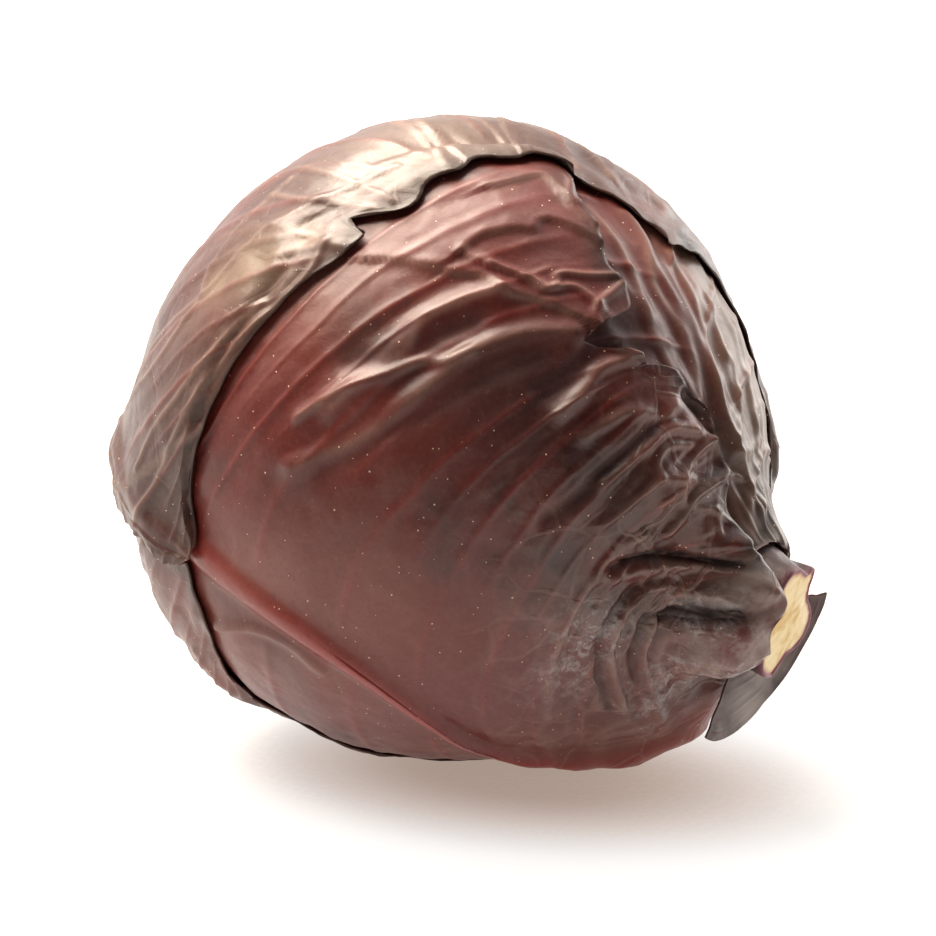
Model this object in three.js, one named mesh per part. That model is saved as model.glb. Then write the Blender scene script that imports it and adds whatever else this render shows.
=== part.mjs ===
// Red cabbage head, cut from its plant and lying on its side. Millimetres, +Z up.
// The origin is on the ground, under the middle of the head. The stem end points along +X and a little down.
// A tight inner head is wrapped in four big leaves that grow from the stem. Each leaf is a thin shell,
// lofted through its side veins and draped over whatever lies below it. One more leaf was cut off short,
// and its thick base still flares from under the stem.

import * as THREE from "three";

// Driving dimensions, in millimetres and degrees
const INNER_HEAD_RADIUS = 67.5;
const SHOULDER_RISE = 4.8; // the inner head reaches this much further towards the stem
const SHOULDER_ANGLE = 52; // measured from the stem axis, where that rise begins
const HEEL = { at: [29, 190], spread: 19, rise: 11 }; // swollen leaf stalks inside, under the stem
const STEM_TILT = 17; // the stem end hangs this far below level
const HEAD_CENTRE = new THREE.Vector3(-8.63, -1.48, 71.4);
const LEAF_GAP = 0.45; // clearance between one layer and the next
const BLADE = 1.3; // thickness of a leaf between its veins
const LEAST_BLADE = 0.8; // where a leaf is pressed flat on the ground
const NECK = { radius: 80.4, lower: 2.4, highest: 20 }; // how far the leaves climb the stem, less far below
const NECK_RISE = 10; // how much of that is climbed,
const NECK_ANGLE = [9, 19]; // from the second of these angles to the first
const LOOSEST = 0.6; // near the stem a leaf bridges a dip by no more than this,
const LOOSER = { from: 32, perDegree: 0.25 }; // and further off by more
const PRESSED = { innerHead: 6.2, shoulderLeaf: 5, frontLeaf: 2.1, outermost: 0 }; // lowest height of each

// Directions seen from the head's centre: along the stem axis, up across it, and towards the front
const DEGREE = Math.PI / 180;
const AXIS = new THREE.Vector3(Math.cos(STEM_TILT * DEGREE), 0, -Math.sin(STEM_TILT * DEGREE));
const TOP = new THREE.Vector3(Math.sin(STEM_TILT * DEGREE), 0, Math.cos(STEM_TILT * DEGREE));
const FRONT = new THREE.Vector3(0, -1, 0);
const DOWN = new THREE.Vector3(0, 0, -1);

// The leaves, from the innermost to the outermost. Each row is one side vein across the leaf, from the
// stem to the tip: where it leaves the midrib and where it meets the left and the right margin. A point is
// [angle from the stem axis, longitude round it], in degrees, with longitude 0 on top and 90 in front.
// A tear is a notch in the right margin: [place along the leaf, half width, depth], as shares.
const SHOULDER_LEAF = {
  rib: [[11.3, -5], [19, -3], [29, 0], [41, 1], [55, -2], [72, -6], [92, -9], [110, -10]],
  left: [[11.3, -66], [32, -72], [54, -70], [76, -64], [92, -56], [106, -44], [114, -30], [117, -18]],
  right: [[11.3, 42], [32, 56], [54, 65], [76, 66], [92, 58], [106, 42], [114, 24], [117, 4]],
  bow: [[0], [0]],
  tears: [],
  cells: [6, 6],
  ribHeight: 3.0,
  lift: [0, 0],
};
const FRONT_LEAF = {
  rib: [[12, 202], [27, 189], [38, 172], [42, 160], [47, 148], [57, 124], [70, 110], [86, 104], [103, 103],
    [114, 105], [121, 107], [125, 110]],
  left: [[12, 240], [26, 240], [37, 236], [46, 232], [54, 227], [65, 219], [78, 209], [91, 197], [104, 182],
    [114, 164], [121, 146], [126, 130]],
  right: [[11.3, 34], [12.6, 31], [16, 27], [25, 15], [34, 13], [43, 18], [49, 25], [57, 16], [68, 11],
    [84, 2], [101, 20], [114, 58]],
  bow: [[0], [0], [0], [2], [4], [5], [7], [9], [4], [0], [0], [0]],
  tears: [[0.585, 0.035, 0.1]],
  cells: [5, 11],
  ribHeight: 4.6,
  lift: [0, 1.0],
};
const UNDER_LEAF = {
  rib: [[12.2, 228], [28, 230], [45, 231], [62, 230], [79, 228], [95, 225], [108, 220], [118, 212],
    [127, 200], [134, 186], [140, 165]],
  left: [[12.2, 250], [30, 268], [48, 284], [66, 294], [84, 298], [102, 296], [117, 288], [128, 272],
    [135, 250], [141, 228], [144, 205]],
  right: [[12.2, 214], [30, 206], [47, 190], [60, 172], [78, 159], [95, 150], [99, 131], [100, 117],
    [105, 107], [117, 99], [135, 105]],
  bow: [[0], [0]],
  tears: [[0.55, 0.02, 0.08]],
  cells: [6, 7],
  ribHeight: 3.4,
  lift: [0, 1.1],
};
const CROWN_LEAF = {
  rib: [[11.8, -92], [35, -84], [57, -76], [80, -76], [103, -76], [126, -76], [149, -76], [172, -76],
    [163, 104], [143, 104], [127, 103], [115, 103], [106, 103], [101.8, 102.6]],
  left: [[11.8, -112], [33, -128], [56, -134], [80, -140], [103, -148], [122, -160], [137, -178],
    [146, 158], [145, 138], [132, 121], [119, 111], [111, 107.5], [106, 106.5], [103.5, 105]],
  right: [[11.8, -80], [26, -68], [42, -55], [56, -40], [66, -10], [81, 1], [88, 9], [92, 19], [93, 30],
    [97, 43], [104, 60], [107, 78], [106.5, 92], [102, 100.5]],
  acrossCrown: true, // its veins follow great circles, because it folds over the crown
  tears: [[0.645, 0.02, 0.07]],
  cells: [7, 11],
  ribHeight: 3.0,
  lift: [0.6, 1.4],
};

// A leaf that was cut off short: its thick base flares from the stem. Its rows run along its rim.
const CUT_LEAF_BASE = {
  rib: [[11.3, 212], [13.2, 209], [15.4, 206], [17.7, 203]],
  left: [[7.6, 262], [9.0, 266], [10.6, 270], [12.4, 272]],
  right: [[10.6, 174], [13.4, 161], [16.6, 151], [19.2, 146]],
  bow: [[0], [0]],
  tears: [],
  steps: [0, 0.5],
  cells: [5, 6],
  ribHeight: 1.4,
  lift: [0, 0],
  floor: [[81.8], [84.4], [87.8], [90.8]], // it stands at least this far from the head's centre, row by row
};

// Leaf relief and margins shared by all the leaves
const VEIN_HEIGHT = 1.2; // side veins stand this far above the blade
const PUCKER_HEIGHT = 1.1; // the blade swells this much between its veins
const RIB_WIDTH = 6.5; // half width of a midrib at the stem
const RIB_SEAT = 0.35; // a midrib is this much flatter where it meets the stem
const RIB_TIP_SHARE = 0.12; // what is left of a midrib at the leaf's tip
const VEIN_STEPS = [0, 0.14, 0.5, 0.86]; // where the rows of faces lie between one side vein and the next
const LIFT_START = 0.84; // share of the way to the margin where a loose margin starts to stand off
const SCALLOP = 0.016; // between two veins the margin draws back by this share of the leaf's width

// The stem: a short stump with a flat cut. It is oval, and notched where a bud sat.
const STEM = { start: 75.8, end: 89.6, radius: 12, oval: 3.2, widest: 22, slant: 0.04 };
const STEM_SEAT = 80; // leaf stalks meet the stem this far along it
const STEM_NOTCH = { longitude: 57, spread: 13, depth: 3 };
const STEM_HOOK = { longitude: 326, spread: 10, height: 2.4 };

const HUG_GAP = 1; // leaf stalks start this far from the stem
const HUG_SHARE = 12; // and stop following its outline by one over this share of the leaf's length

const clamp = (x, low = 0, high = 1) => Math.min(high, Math.max(low, x));
const smooth = (x) => clamp(x) ** 2 * (3 - 2 * clamp(x));

function direction([polar, longitude]) {
  const across = TOP.clone().multiplyScalar(Math.cos(longitude * DEGREE));
  across.addScaledVector(FRONT, Math.sin(longitude * DEGREE));
  return across.multiplyScalar(Math.sin(polar * DEGREE)).addScaledVector(AXIS, Math.cos(polar * DEGREE));
}

// Distance of the stem's side from its axis
function stemOutline(longitude) {
  const fromNotch = ((longitude - STEM_NOTCH.longitude + 540) % 360) - 180;
  const oval = STEM.radius + STEM.oval * Math.cos(2 * (longitude - STEM.widest) * DEGREE);
  return oval - STEM_NOTCH.depth * Math.exp(-((fromNotch / STEM_NOTCH.spread) ** 2));
}

// Angle from the stem axis at which a leaf's stalk starts, a gap away from the stem
function stemPolar(longitude, gap) {
  return Math.atan((stemOutline(longitude) + gap) / STEM_SEAT) / DEGREE;
}

// Catmull-Rom value of a list of number arrays at share s of the way along it, with its ends mirrored
function along(list, s) {
  const x = clamp(s) * (list.length - 1);
  const i = Math.min(Math.floor(x), list.length - 2);
  const f = x - i;
  const at = (k) => {
    if (k < 0) return list[0].map((v, n) => 2 * v - list[1][n]);
    if (k >= list.length) return list.at(-1).map((v, n) => 2 * v - list.at(-2)[n]);
    return list[k];
  };
  const [a, b, c, d] = [at(i - 1), at(i), at(i + 1), at(i + 2)];
  return b.map((_, n) => {
    const pull = (c[n] - a[n]) * f + (2 * a[n] - 5 * b[n] + 4 * c[n] - d[n]) * f * f;
    return b[n] + 0.5 * (pull + (3 * b[n] - a[n] - 3 * c[n] + d[n]) * f ** 3);
  });
}

// Unit direction on a leaf, at s along its midrib and at t across it: -1 is the left margin, 1 the right one
function leafDirection(leaf, s, t) {
  const side = t < 0 ? leaf.left : leaf.right;
  const tearAt = ([at, width, depth]) => depth * Math.max(0, 1 - Math.abs(s - at) / width);
  const scallop = SCALLOP * Math.sin(Math.PI * s * (leaf.rib.length - 1)) ** 2;
  const cut = scallop + (t < 0 ? 0 : leaf.tears.reduce((sum, each) => sum + tearAt(each), 0));
  const share = Math.abs(t) * (1 - cut * smooth(2 * Math.abs(t) - 1));
  const place = leaf.acrossCrown ? onGreatCircle : onVein;
  const [polar, longitude] = place(leaf, side, s, share);
  const hug = leaf.floor ? 0 : smooth(1 - s * HUG_SHARE);
  return direction([polar + (stemPolar(longitude, HUG_GAP) - polar) * hug, longitude]);
}

// Angles of a point on a side vein that bows away from the stem on the right-hand side
function onVein(leaf, side, s, share) {
  const [from, to] = [along(leaf.rib, s), along(side, s)];
  const bow = side === leaf.right ? along(leaf.bow, s)[0] * Math.sin(Math.PI * share ** 0.6) : 0;
  return [from[0] + (to[0] - from[0]) * share + bow, from[1] + (to[1] - from[1]) * share];
}

// Angles of a point on a great circle from the midrib to the margin
function onGreatCircle(leaf, side, s, share) {
  const unit = (line) => new THREE.Vector3(...along(line.map((p) => direction(p).toArray()), s)).normalize();
  const [from, to] = [unit(leaf.rib), unit(side)];
  const angle = Math.max(from.angleTo(to), 1e-6);
  const d = from.multiplyScalar(Math.sin((1 - share) * angle)).addScaledVector(to, Math.sin(share * angle));
  return [d.angleTo(AXIS) / DEGREE, Math.atan2(d.dot(FRONT), d.dot(TOP)) / DEGREE];
}

// Soft lumps, a millimetre or so, that all the layers share
function lumps(d) {
  const [x, y, z] = [d.dot(AXIS), d.dot(TOP), d.dot(FRONT)];
  const broad = 0.7 * Math.sin(3.1 * x + 2.3 * y) * Math.sin(2.7 * z + 1.1);
  return broad + 0.5 * Math.sin(5.3 * y - 2.1 * z + 0.6);
}

// Radius at which a ray from the head's centre is this high above the ground
function pressedRadius(d, height) {
  return (HEAD_CENTRE.z - height) / Math.max(d.dot(DOWN), 0.3);
}

// Radius of the inner head: a ball drawn out to a shoulder at the stem, and pressed flat where it is lain on
function innerRadius(d) {
  const heel = HEEL.rise * Math.exp(-((d.angleTo(direction(HEEL.at)) / DEGREE / HEEL.spread) ** 2));
  const shoulder = SHOULDER_RISE * smooth(1 - d.angleTo(AXIS) / DEGREE / SHOULDER_ANGLE);
  const round = INNER_HEAD_RADIUS + shoulder + heel + lumps(d);
  return Math.min(round, pressedRadius(d, PRESSED.innerHead));
}

// A surface that each ray from the head's centre crosses once. Its corners are unit directions with radii.
class RadialSurface {
  constructor(directions, radii, triangles) {
    Object.assign(this, { directions, radii, triangles });
    this.inverses = triangles.map((corners) => {
      const [a, b, c] = corners.map((k) => directions[k]);
      return new THREE.Matrix3().set(a.x, b.x, c.x, a.y, b.y, c.y, a.z, b.z, c.z).invert();
    });
    this.middles = triangles.map((corners) => {
      const [a, b, c] = corners.map((k) => directions[k]);
      return a.clone().add(b).add(c).normalize();
    });
    this.reach = triangles.map((corners, i) =>
      Math.min(...corners.map((k) => this.middles[i].dot(directions[k]))) - 1e-6);
  }

  // Which triangles a direction passes through, with its weights on their corners
  hits(d) {
    const found = [];
    for (let i = 0; i < this.triangles.length; i += 1) {
      if (this.middles[i].dot(d) < this.reach[i]) continue;
      const weights = d.clone().applyMatrix3(this.inverses[i]).toArray();
      if (Math.min(...weights) > -1e-7) found.push([i, weights]);
    }
    return found;
  }

  radiusOn(i, weights) {
    return 1 / weights.reduce((sum, w, k) => sum + w / this.radii[this.triangles[i][k]], 0);
  }

  // Its corners, and the middles of its edges, as directions with radii
  marks() {
    const found = this.directions.map((d, k) => ({ d, radius: this.radii[k] }));
    this.triangles.forEach((corners, i) => corners.forEach((k, n) => {
      const d = this.directions[k].clone().add(this.directions[corners[(n + 1) % 3]]);
      const weights = [0, 0, 0];
      weights[n] = 1 / d.length();
      weights[(n + 1) % 3] = 1 / d.length();
      found.push({ d: d.normalize(), radius: this.radiusOn(i, weights) });
    }));
    return found;
  }

  radiusAt(d) {
    return this.hits(d).reduce((most, [i, weights]) => Math.max(most, this.radiusOn(i, weights)), 0);
  }
}

// Weights of the points that are tested in a triangle: its corners, points on its edges, and three inside
const TEST_WEIGHTS = [
  [1, 0, 0], [0, 1, 0], [0, 0, 1], [0.5, 0.5, 0], [0, 0.5, 0.5], [0.5, 0, 0.5],
  [0.75, 0.25, 0], [0.25, 0.75, 0], [0, 0.75, 0.25], [0, 0.25, 0.75], [0.75, 0, 0.25], [0.25, 0, 0.75],
  [0.6, 0.2, 0.2], [0.2, 0.6, 0.2], [0.2, 0.2, 0.6],
];
const DRAPE_ROUNDS = 60;
const CLEARING_ROUNDS = 4;

// Least radius of a leaf's inner face, where it climbs the stem
function neckRadius(d) {
  const polar = d.angleTo(AXIS) / DEGREE;
  if (polar > NECK_ANGLE[1]) return 0;
  const longitude = Math.atan2(d.dot(FRONT), d.dot(TOP));
  const full = NECK.radius - NECK.lower * (0.5 - 0.5 * Math.cos(longitude - NECK.highest * DEGREE));
  return full - NECK_RISE * (1 - smooth((NECK_ANGLE[1] - polar) / (NECK_ANGLE[1] - NECK_ANGLE[0])));
}

// Lays a skin over the surfaces below it: it is smoothed, and raised wherever it comes within the gap of them
function drape(skin, below, columns, floor) {
  const tests = [];
  const addTest = (i, weights, need) => {
    if (need > 0) tests.push({ corners: skin.triangles[i], weights, need: need + LEAF_GAP });
  };
  const support = (d) => below.reduce((most, surface) => Math.max(most, surface.radiusAt(d)), neckRadius(d));
  skin.triangles.forEach((corners, i) => TEST_WEIGHTS.forEach((share) => {
    const d = new THREE.Vector3();
    corners.forEach((k, n) => d.addScaledVector(skin.directions[k], share[n]));
    const size = d.length();
    addTest(i, share.map((w) => w / size), support(d.normalize()));
  }));
  below.forEach((surface) => surface.marks().forEach(({ d, radius }) => {
    skin.hits(d).forEach(([i, weights]) => addTest(i, weights, radius));
  }));

  const radii = skin.radii;
  const slack = (d) => LOOSEST + Math.max(0, d.angleTo(AXIS) / DEGREE - LOOSER.from) * LOOSER.perDegree;
  const most = skin.directions.map((d, k) => Math.max(support(d) + LEAF_GAP, floor[k]) + slack(d));
  const shortfall = ({ corners, weights, need }) =>
    need - 1 / weights.reduce((sum, w, n) => sum + w / radii[corners[n]], 0);
  for (let round = 0; round < DRAPE_ROUNDS; round += 1) {
    const last = radii.slice();
    for (let k = 0; k < radii.length; k += 1) {
      const near = [k - columns, k + columns];
      if (k % columns > 0) near.push(k - 1);
      if (k % columns < columns - 1) near.push(k + 1);
      const inside = near.filter((n) => n >= 0 && n < radii.length);
      const mean = inside.reduce((sum, n) => sum + last[n], 0) / inside.length;
      radii[k] = clamp(0.5 * (last[k] + mean), floor[k], most[k]);
    }
    const raise = radii.map(() => 0);
    tests.forEach((test) => {
      const lack = shortfall(test);
      if (lack <= 0) return;
      const total = test.weights.reduce((sum, w) => sum + w * w, 0);
      test.corners.forEach((k, n) => { raise[k] = Math.max(raise[k], (lack * test.weights[n]) / total); });
    });
    raise.forEach((lack, k) => { radii[k] += lack; });
  }
  for (let round = 0; round < CLEARING_ROUNDS; round += 1) {
    tests.forEach((test) => {
      const lack = shortfall(test);
      if (lack > 0) test.corners.forEach((k) => { radii[k] += lack; });
    });
  }
}

// A grid of quads split into triangles, rows by columns, each facing outwards from the head's centre
function gridTriangles(directions, rows, columns) {
  const triangles = [];
  for (let i = 0; i + 1 < rows; i += 1) {
    for (let j = 0; j + 1 < columns; j += 1) {
      const a = i * columns + j;
      triangles.push([a, a + 1, a + columns + 1], [a, a + columns + 1, a + columns]);
    }
  }
  const middle = Math.floor(rows / 2) * columns + Math.floor(columns / 2);
  const [p, q, r] = [middle, middle + 1, middle + columns + 1].map((k) => directions[k]);
  const outward = q.clone().sub(p).cross(r.clone().sub(p)).dot(p) > 0;
  return outward ? triangles : triangles.map(([a, b, c]) => [a, c, b]);
}

// Relief of a leaf's outer face above its inner one: blade, midrib, side veins and the swelling between them
function leafThickness(leaf, s, t, toRib) {
  const veins = leaf.rib.length - 1;
  const between = s * veins - Math.round(s * veins);
  const out = smooth(Math.abs(t) * 5) * smooth((1 - Math.abs(t)) * 6);
  const taper = 1 - (1 - RIB_TIP_SHARE) * s;
  const seat = smooth(RIB_SEAT + 6 * s);
  const rib = seat * leaf.ribHeight * taper * Math.exp(-((toRib / (RIB_WIDTH * (0.35 + 0.65 * taper))) ** 2));
  const vein = VEIN_HEIGHT * Math.exp(-((between / 0.12) ** 2)) * out;
  const pucker = PUCKER_HEIGHT * Math.sin(Math.PI * between) ** 2 * out * smooth(8 * s);
  return BLADE + rib + vein + pucker;
}

// Builds one leaf over the surfaces below it. Returns its mesh geometry and its outer face as a surface.
function buildLeaf(leaf, below, lowest) {
  const veins = leaf.rib.length - 1;
  const stations = [];
  const steps = leaf.steps ?? VEIN_STEPS;
  for (let k = 0; k < veins; k += 1) stations.push(...steps.map((f) => (k + f) / veins));
  stations.push(1);
  const across = [];
  for (let j = -leaf.cells[0]; j <= leaf.cells[1]; j += 1) {
    across.push(j < 0 ? -((-j / leaf.cells[0]) ** 1.15) : (j / leaf.cells[1]) ** 1.15);
  }
  const grid = stations.flatMap((s) => across.map((t) => ({ s, t })));
  const directions = grid.map(({ s, t }) => leafDirection(leaf, s, t));
  const triangles = gridTriangles(directions, stations.length, across.length);
  const start = directions.map((d) => below.reduce((most, b) => Math.max(most, b.radiusAt(d)), 0) + LEAF_GAP);
  const inner = new RadialSurface(directions, start, triangles);
  const floor = grid.map(({ s }) => (leaf.floor ? along(leaf.floor, s)[0] : 0));
  drape(inner, below, across.length, floor);

  const outerRadii = grid.map(({ s, t }, k) => {
    const toRib = directions[k].angleTo(leafDirection(leaf, s, 0)) * INNER_HEAD_RADIUS;
    const lift = leaf.lift[t < 0 ? 0 : 1] * smooth((Math.abs(t) - LIFT_START) / (1 - LIFT_START));
    inner.radii[k] += lift * smooth(6 * s);
    inner.radii[k] = Math.min(inner.radii[k], pressedRadius(directions[k], lowest + LEAST_BLADE));
    return Math.min(inner.radii[k] + leafThickness(leaf, s, t, toRib), pressedRadius(directions[k], lowest));
  });
  const outer = new RadialSurface(directions, outerRadii, triangles);
  return { geometry: shell(outer, inner, stations.length, across.length), outer };
}

// Closed mesh between an outer and an inner face that share their directions and triangles
function shell(outer, inner, rows, columns) {
  const count = outer.directions.length;
  const pointsOf = ({ directions, radii }) => directions.map((d, k) => d.clone().multiplyScalar(radii[k]));
  const points = [...pointsOf(outer), ...pointsOf(inner)];
  const faces = outer.triangles.map((t) => t.slice());
  inner.triangles.forEach(([a, b, c]) => faces.push([a + count, c + count, b + count]));
  const edge = [];
  for (let j = 0; j < columns - 1; j += 1) edge.push(j);
  for (let i = 0; i < rows - 1; i += 1) edge.push(i * columns + columns - 1);
  for (let j = columns - 1; j > 0; j -= 1) edge.push((rows - 1) * columns + j);
  for (let i = rows - 1; i > 0; i -= 1) edge.push(i * columns);
  const forward = outer.triangles[0][1] === 1; // whether the outer face runs the same way as this edge
  edge.forEach((from, n) => {
    const to = edge[(n + 1) % edge.length];
    const [a, b] = forward ? [from, to] : [to, from];
    faces.push([a, a + count, b + count], [a, b + count, b]);
  });
  return meshGeometry(points, faces);
}

function meshGeometry(points, faces) {
  const placed = points.flatMap((p) => p.clone().add(HEAD_CENTRE).toArray());
  const geometry = new THREE.BufferGeometry();
  geometry.setAttribute("position", new THREE.Float32BufferAttribute(placed, 3));
  geometry.setIndex(faces.flat());
  geometry.computeVertexNormals();
  return geometry;
}

// The inner head: rings of points round the stem axis, closed by a point at the stem and one at the crown
const HEAD_RINGS = 19;
const HEAD_SPOKES = 34;

function buildInnerHead() {
  const directions = [direction([0, 0])];
  for (let i = 1; i <= HEAD_RINGS; i += 1) {
    for (let j = 0; j < HEAD_SPOKES; j += 1) {
      directions.push(direction([(180 * i) / (HEAD_RINGS + 1), (360 * (j + (i % 2) / 2)) / HEAD_SPOKES]));
    }
  }
  directions.push(direction([180, 0]));
  const ring = (i, j) => 1 + (i - 1) * HEAD_SPOKES + (j % HEAD_SPOKES);
  const crown = directions.length - 1;
  const triangles = [];
  for (let j = 0; j < HEAD_SPOKES; j += 1) {
    triangles.push([0, ring(1, j), ring(1, j + 1)]);
    triangles.push([crown, ring(HEAD_RINGS, j + 1), ring(HEAD_RINGS, j)]);
    for (let i = 1; i < HEAD_RINGS; i += 1) {
      const shift = i % 2; // odd rings are turned by half a step
      triangles.push([ring(i, j), ring(i + 1, j + shift), ring(i, j + 1)]);
      triangles.push([ring(i, j + 1 - shift), ring(i + 1, j), ring(i + 1, j + 1)]);
    }
  }
  const radii = directions.map(innerRadius);
  const surface = new RadialSurface(directions, radii, triangles);
  const points = directions.map((d, k) => d.clone().multiplyScalar(radii[k]));
  const [a, b, c] = triangles[0].map((k) => points[k]);
  const outward = b.clone().sub(a).cross(c.clone().sub(a)).dot(a) > 0;
  const faces = outward ? triangles : triangles.map(([p, q, r]) => [p, r, q]);
  return { geometry: meshGeometry(points, faces), outer: surface };
}

// A point beside the stem: how far along the axis, how far out, and at which longitude
function besideStem(x, out, longitude) {
  const across = direction([90, longitude]);
  return AXIS.clone().multiplyScalar(x).addScaledVector(across, out);
}

const STEM_RINGS = 4;
const STEM_SPOKES = 40;

function buildStem() {
  const points = [besideStem(STEM.start, 0, 0)];
  for (let i = 0; i < STEM_RINGS; i += 1) {
    const f = i / (STEM_RINGS - 1);
    for (let j = 0; j < STEM_SPOKES; j += 1) {
      const longitude = (360 * j) / STEM_SPOKES;
      const hook = Math.exp(-(((longitude - STEM_HOOK.longitude) / STEM_HOOK.spread) ** 2));
      const out = stemOutline(longitude) + STEM_HOOK.height * hook * f ** 4;
      const end = STEM.end - STEM.slant * out * Math.cos(longitude * DEGREE);
      points.push(besideStem(STEM.start + (end - STEM.start) * f, out, longitude));
    }
  }
  points.push(besideStem(STEM.end, 0, 0));
  const ring = (i, j) => 1 + i * STEM_SPOKES + (j % STEM_SPOKES);
  const faces = [];
  for (let j = 0; j < STEM_SPOKES; j += 1) {
    faces.push([0, ring(0, j + 1), ring(0, j)]);
    faces.push([points.length - 1, ring(STEM_RINGS - 1, j), ring(STEM_RINGS - 1, j + 1)]);
    for (let i = 0; i + 1 < STEM_RINGS; i += 1) {
      faces.push([ring(i, j), ring(i, j + 1), ring(i + 1, j + 1)]);
      faces.push([ring(i, j), ring(i + 1, j + 1), ring(i + 1, j)]);
    }
  }
  return meshGeometry(points, outwardFaces(points, faces));
}

// Turns a closed mesh's faces round if they point inwards, which its signed volume shows
function outwardFaces(points, faces) {
  const volume = faces.reduce((sum, [a, b, c]) => sum + points[a].dot(points[b].clone().cross(points[c])), 0);
  return volume > 0 ? faces : faces.map(([a, b, c]) => [a, c, b]);
}

const innerHead = buildInnerHead();
const layers = [innerHead.outer];

function addLayer(leaf, lowest) {
  const built = buildLeaf(leaf, layers, lowest);
  layers.push(built.outer);
  return built.geometry;
}

const shoulderLeaf = addLayer(SHOULDER_LEAF, PRESSED.shoulderLeaf);
const frontLeaf = addLayer(FRONT_LEAF, PRESSED.frontLeaf);
const underLeaf = addLayer(UNDER_LEAF, PRESSED.outermost);
const crownLeaf = addLayer(CROWN_LEAF, PRESSED.outermost);
const cutLeafBase = addLayer(CUT_LEAF_BASE, PRESSED.outermost);

function mesh(name, geometry, color, roughness) {
  const made = new THREE.Mesh(geometry, new THREE.MeshStandardMaterial({ color, roughness, metalness: 0 }));
  made.name = name;
  return made;
}

const cabbage = new THREE.Group();
cabbage.add(mesh("inner_head", innerHead.geometry, 0x4a2030, 0.45));
cabbage.add(mesh("shoulder_leaf", shoulderLeaf, 0x5a2c31, 0.4));
cabbage.add(mesh("front_leaf", frontLeaf, 0x6b2b2e, 0.4));
cabbage.add(mesh("under_leaf", underLeaf, 0x593038, 0.4));
cabbage.add(mesh("crown_leaf", crownLeaf, 0x6a3c40, 0.4));
cabbage.add(mesh("cut_leaf_base", cutLeafBase, 0x4d3036, 0.5));
cabbage.add(mesh("stem", buildStem(), 0xe8d48a, 0.6));

export default cabbage;
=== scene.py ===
"""Looks of a red cabbage head that lies on its side. Each leaf of the CAD frame is made again as a fine
shell: it lies on the frame's own inner face, and its outer face gets veins, netting, folds and a thin ragged
margin."""

import bpy
import numpy as np
from mathutils import Matrix, Vector


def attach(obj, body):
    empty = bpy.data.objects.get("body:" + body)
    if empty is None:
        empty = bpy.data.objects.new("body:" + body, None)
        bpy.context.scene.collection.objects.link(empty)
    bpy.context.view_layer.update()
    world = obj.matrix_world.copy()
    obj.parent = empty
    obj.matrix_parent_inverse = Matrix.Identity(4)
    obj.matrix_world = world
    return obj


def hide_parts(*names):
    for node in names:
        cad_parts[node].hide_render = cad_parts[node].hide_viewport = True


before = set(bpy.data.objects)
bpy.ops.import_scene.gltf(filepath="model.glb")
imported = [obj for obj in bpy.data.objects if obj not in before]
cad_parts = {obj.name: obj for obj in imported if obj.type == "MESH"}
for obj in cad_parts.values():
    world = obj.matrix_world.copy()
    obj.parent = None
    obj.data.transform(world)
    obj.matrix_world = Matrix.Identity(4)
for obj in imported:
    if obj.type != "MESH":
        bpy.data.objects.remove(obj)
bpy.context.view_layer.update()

# Directions from the head's centre, and the sizes that the frame was built with, in millimetres and degrees
STEM_TILT = np.radians(17)
AXIS = np.array([np.cos(STEM_TILT), 0, -np.sin(STEM_TILT)])
TOP = np.array([np.sin(STEM_TILT), 0, np.cos(STEM_TILT)])
FRONT = np.array([0.0, -1, 0])
HEAD_CENTRE = np.array([-8.63, -1.48, 71.4])
BLADE = 1.3
HEAD_RADIUS = 67.5
VEIN_STEPS = [0, 0.14, 0.5, 0.86]
SCALLOP = 0.016
STEM_SEAT = 80
THIN_MARGIN = 0.45
SKIN_RADIUS = 74
STEM_BASE, STEM_CUT = 75.8, 89.6

# The leaves, all angles as [polar, longitude] in degrees. Rows, stem to tip: where each side vein leaves the
# midrib ("rib") and where it meets either margin ("left", "right"); "bow" pushes the vein out on its way.
# "tears" and "tabs" are notches and tongues of the right margin, as [share along, width, depth]. "cells" and
# "steps" give the frame's own mesh. Heights are in millimetres: "rib_height", "swell" between the veins, "lift"
# and "hug" of the margin towards the leaf below, "collar" of the climb on the stem, "lowest" above the ground.
# "veins", "ribbing", "creased" and "red_rib" are strengths. The rest are colour spots, as [polar, longitude,
# spread, strength]. The shade spots are painted shade, where the leaf lies turned from the light; the wet
# spots are glossier and carry painted glints; the rosy spots are dusty pink, and on the lower front and the
# shoulder a painted sheen; the beige spots are brown patches on the crown and a painted sheen on the shoulder.
SHOULDER_LEAF = {
    "rib": [[11.3, -5], [19, -3], [29, 0], [41, 1], [55, -2], [72, -6], [92, -9], [110, -10]],
    "left": [[11.3, -66], [32, -72], [54, -70], [76, -64], [92, -56], [106, -44], [114, -30], [117, -18]],
    "right": [[11.3, 42], [32, 56], [54, 65], [76, 66], [92, 58], [106, 42], [114, 24], [117, 4]],
    "cells": [6, 6], "rib_height": 3.0, "lowest": 5, "swell": 0.9, "lift": 0,
    # painted sheen: the rosy and beige spots of this leaf pale its right half, where the light grazes it
    "rosy_and_sheen": [[58, -18, 14, 0.5], [38, -14, 12, 0.4]],
    "painted_shade": [[54, 20, 12, 0.8], [42, 14, 8, 0.5]], "ribbing": 0.5,
    "beige_and_sheen": [[56, -26, 13, 0.6], [38, -28, 12, 0.7], [24, -20, 9, 0.6]],
}
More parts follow.
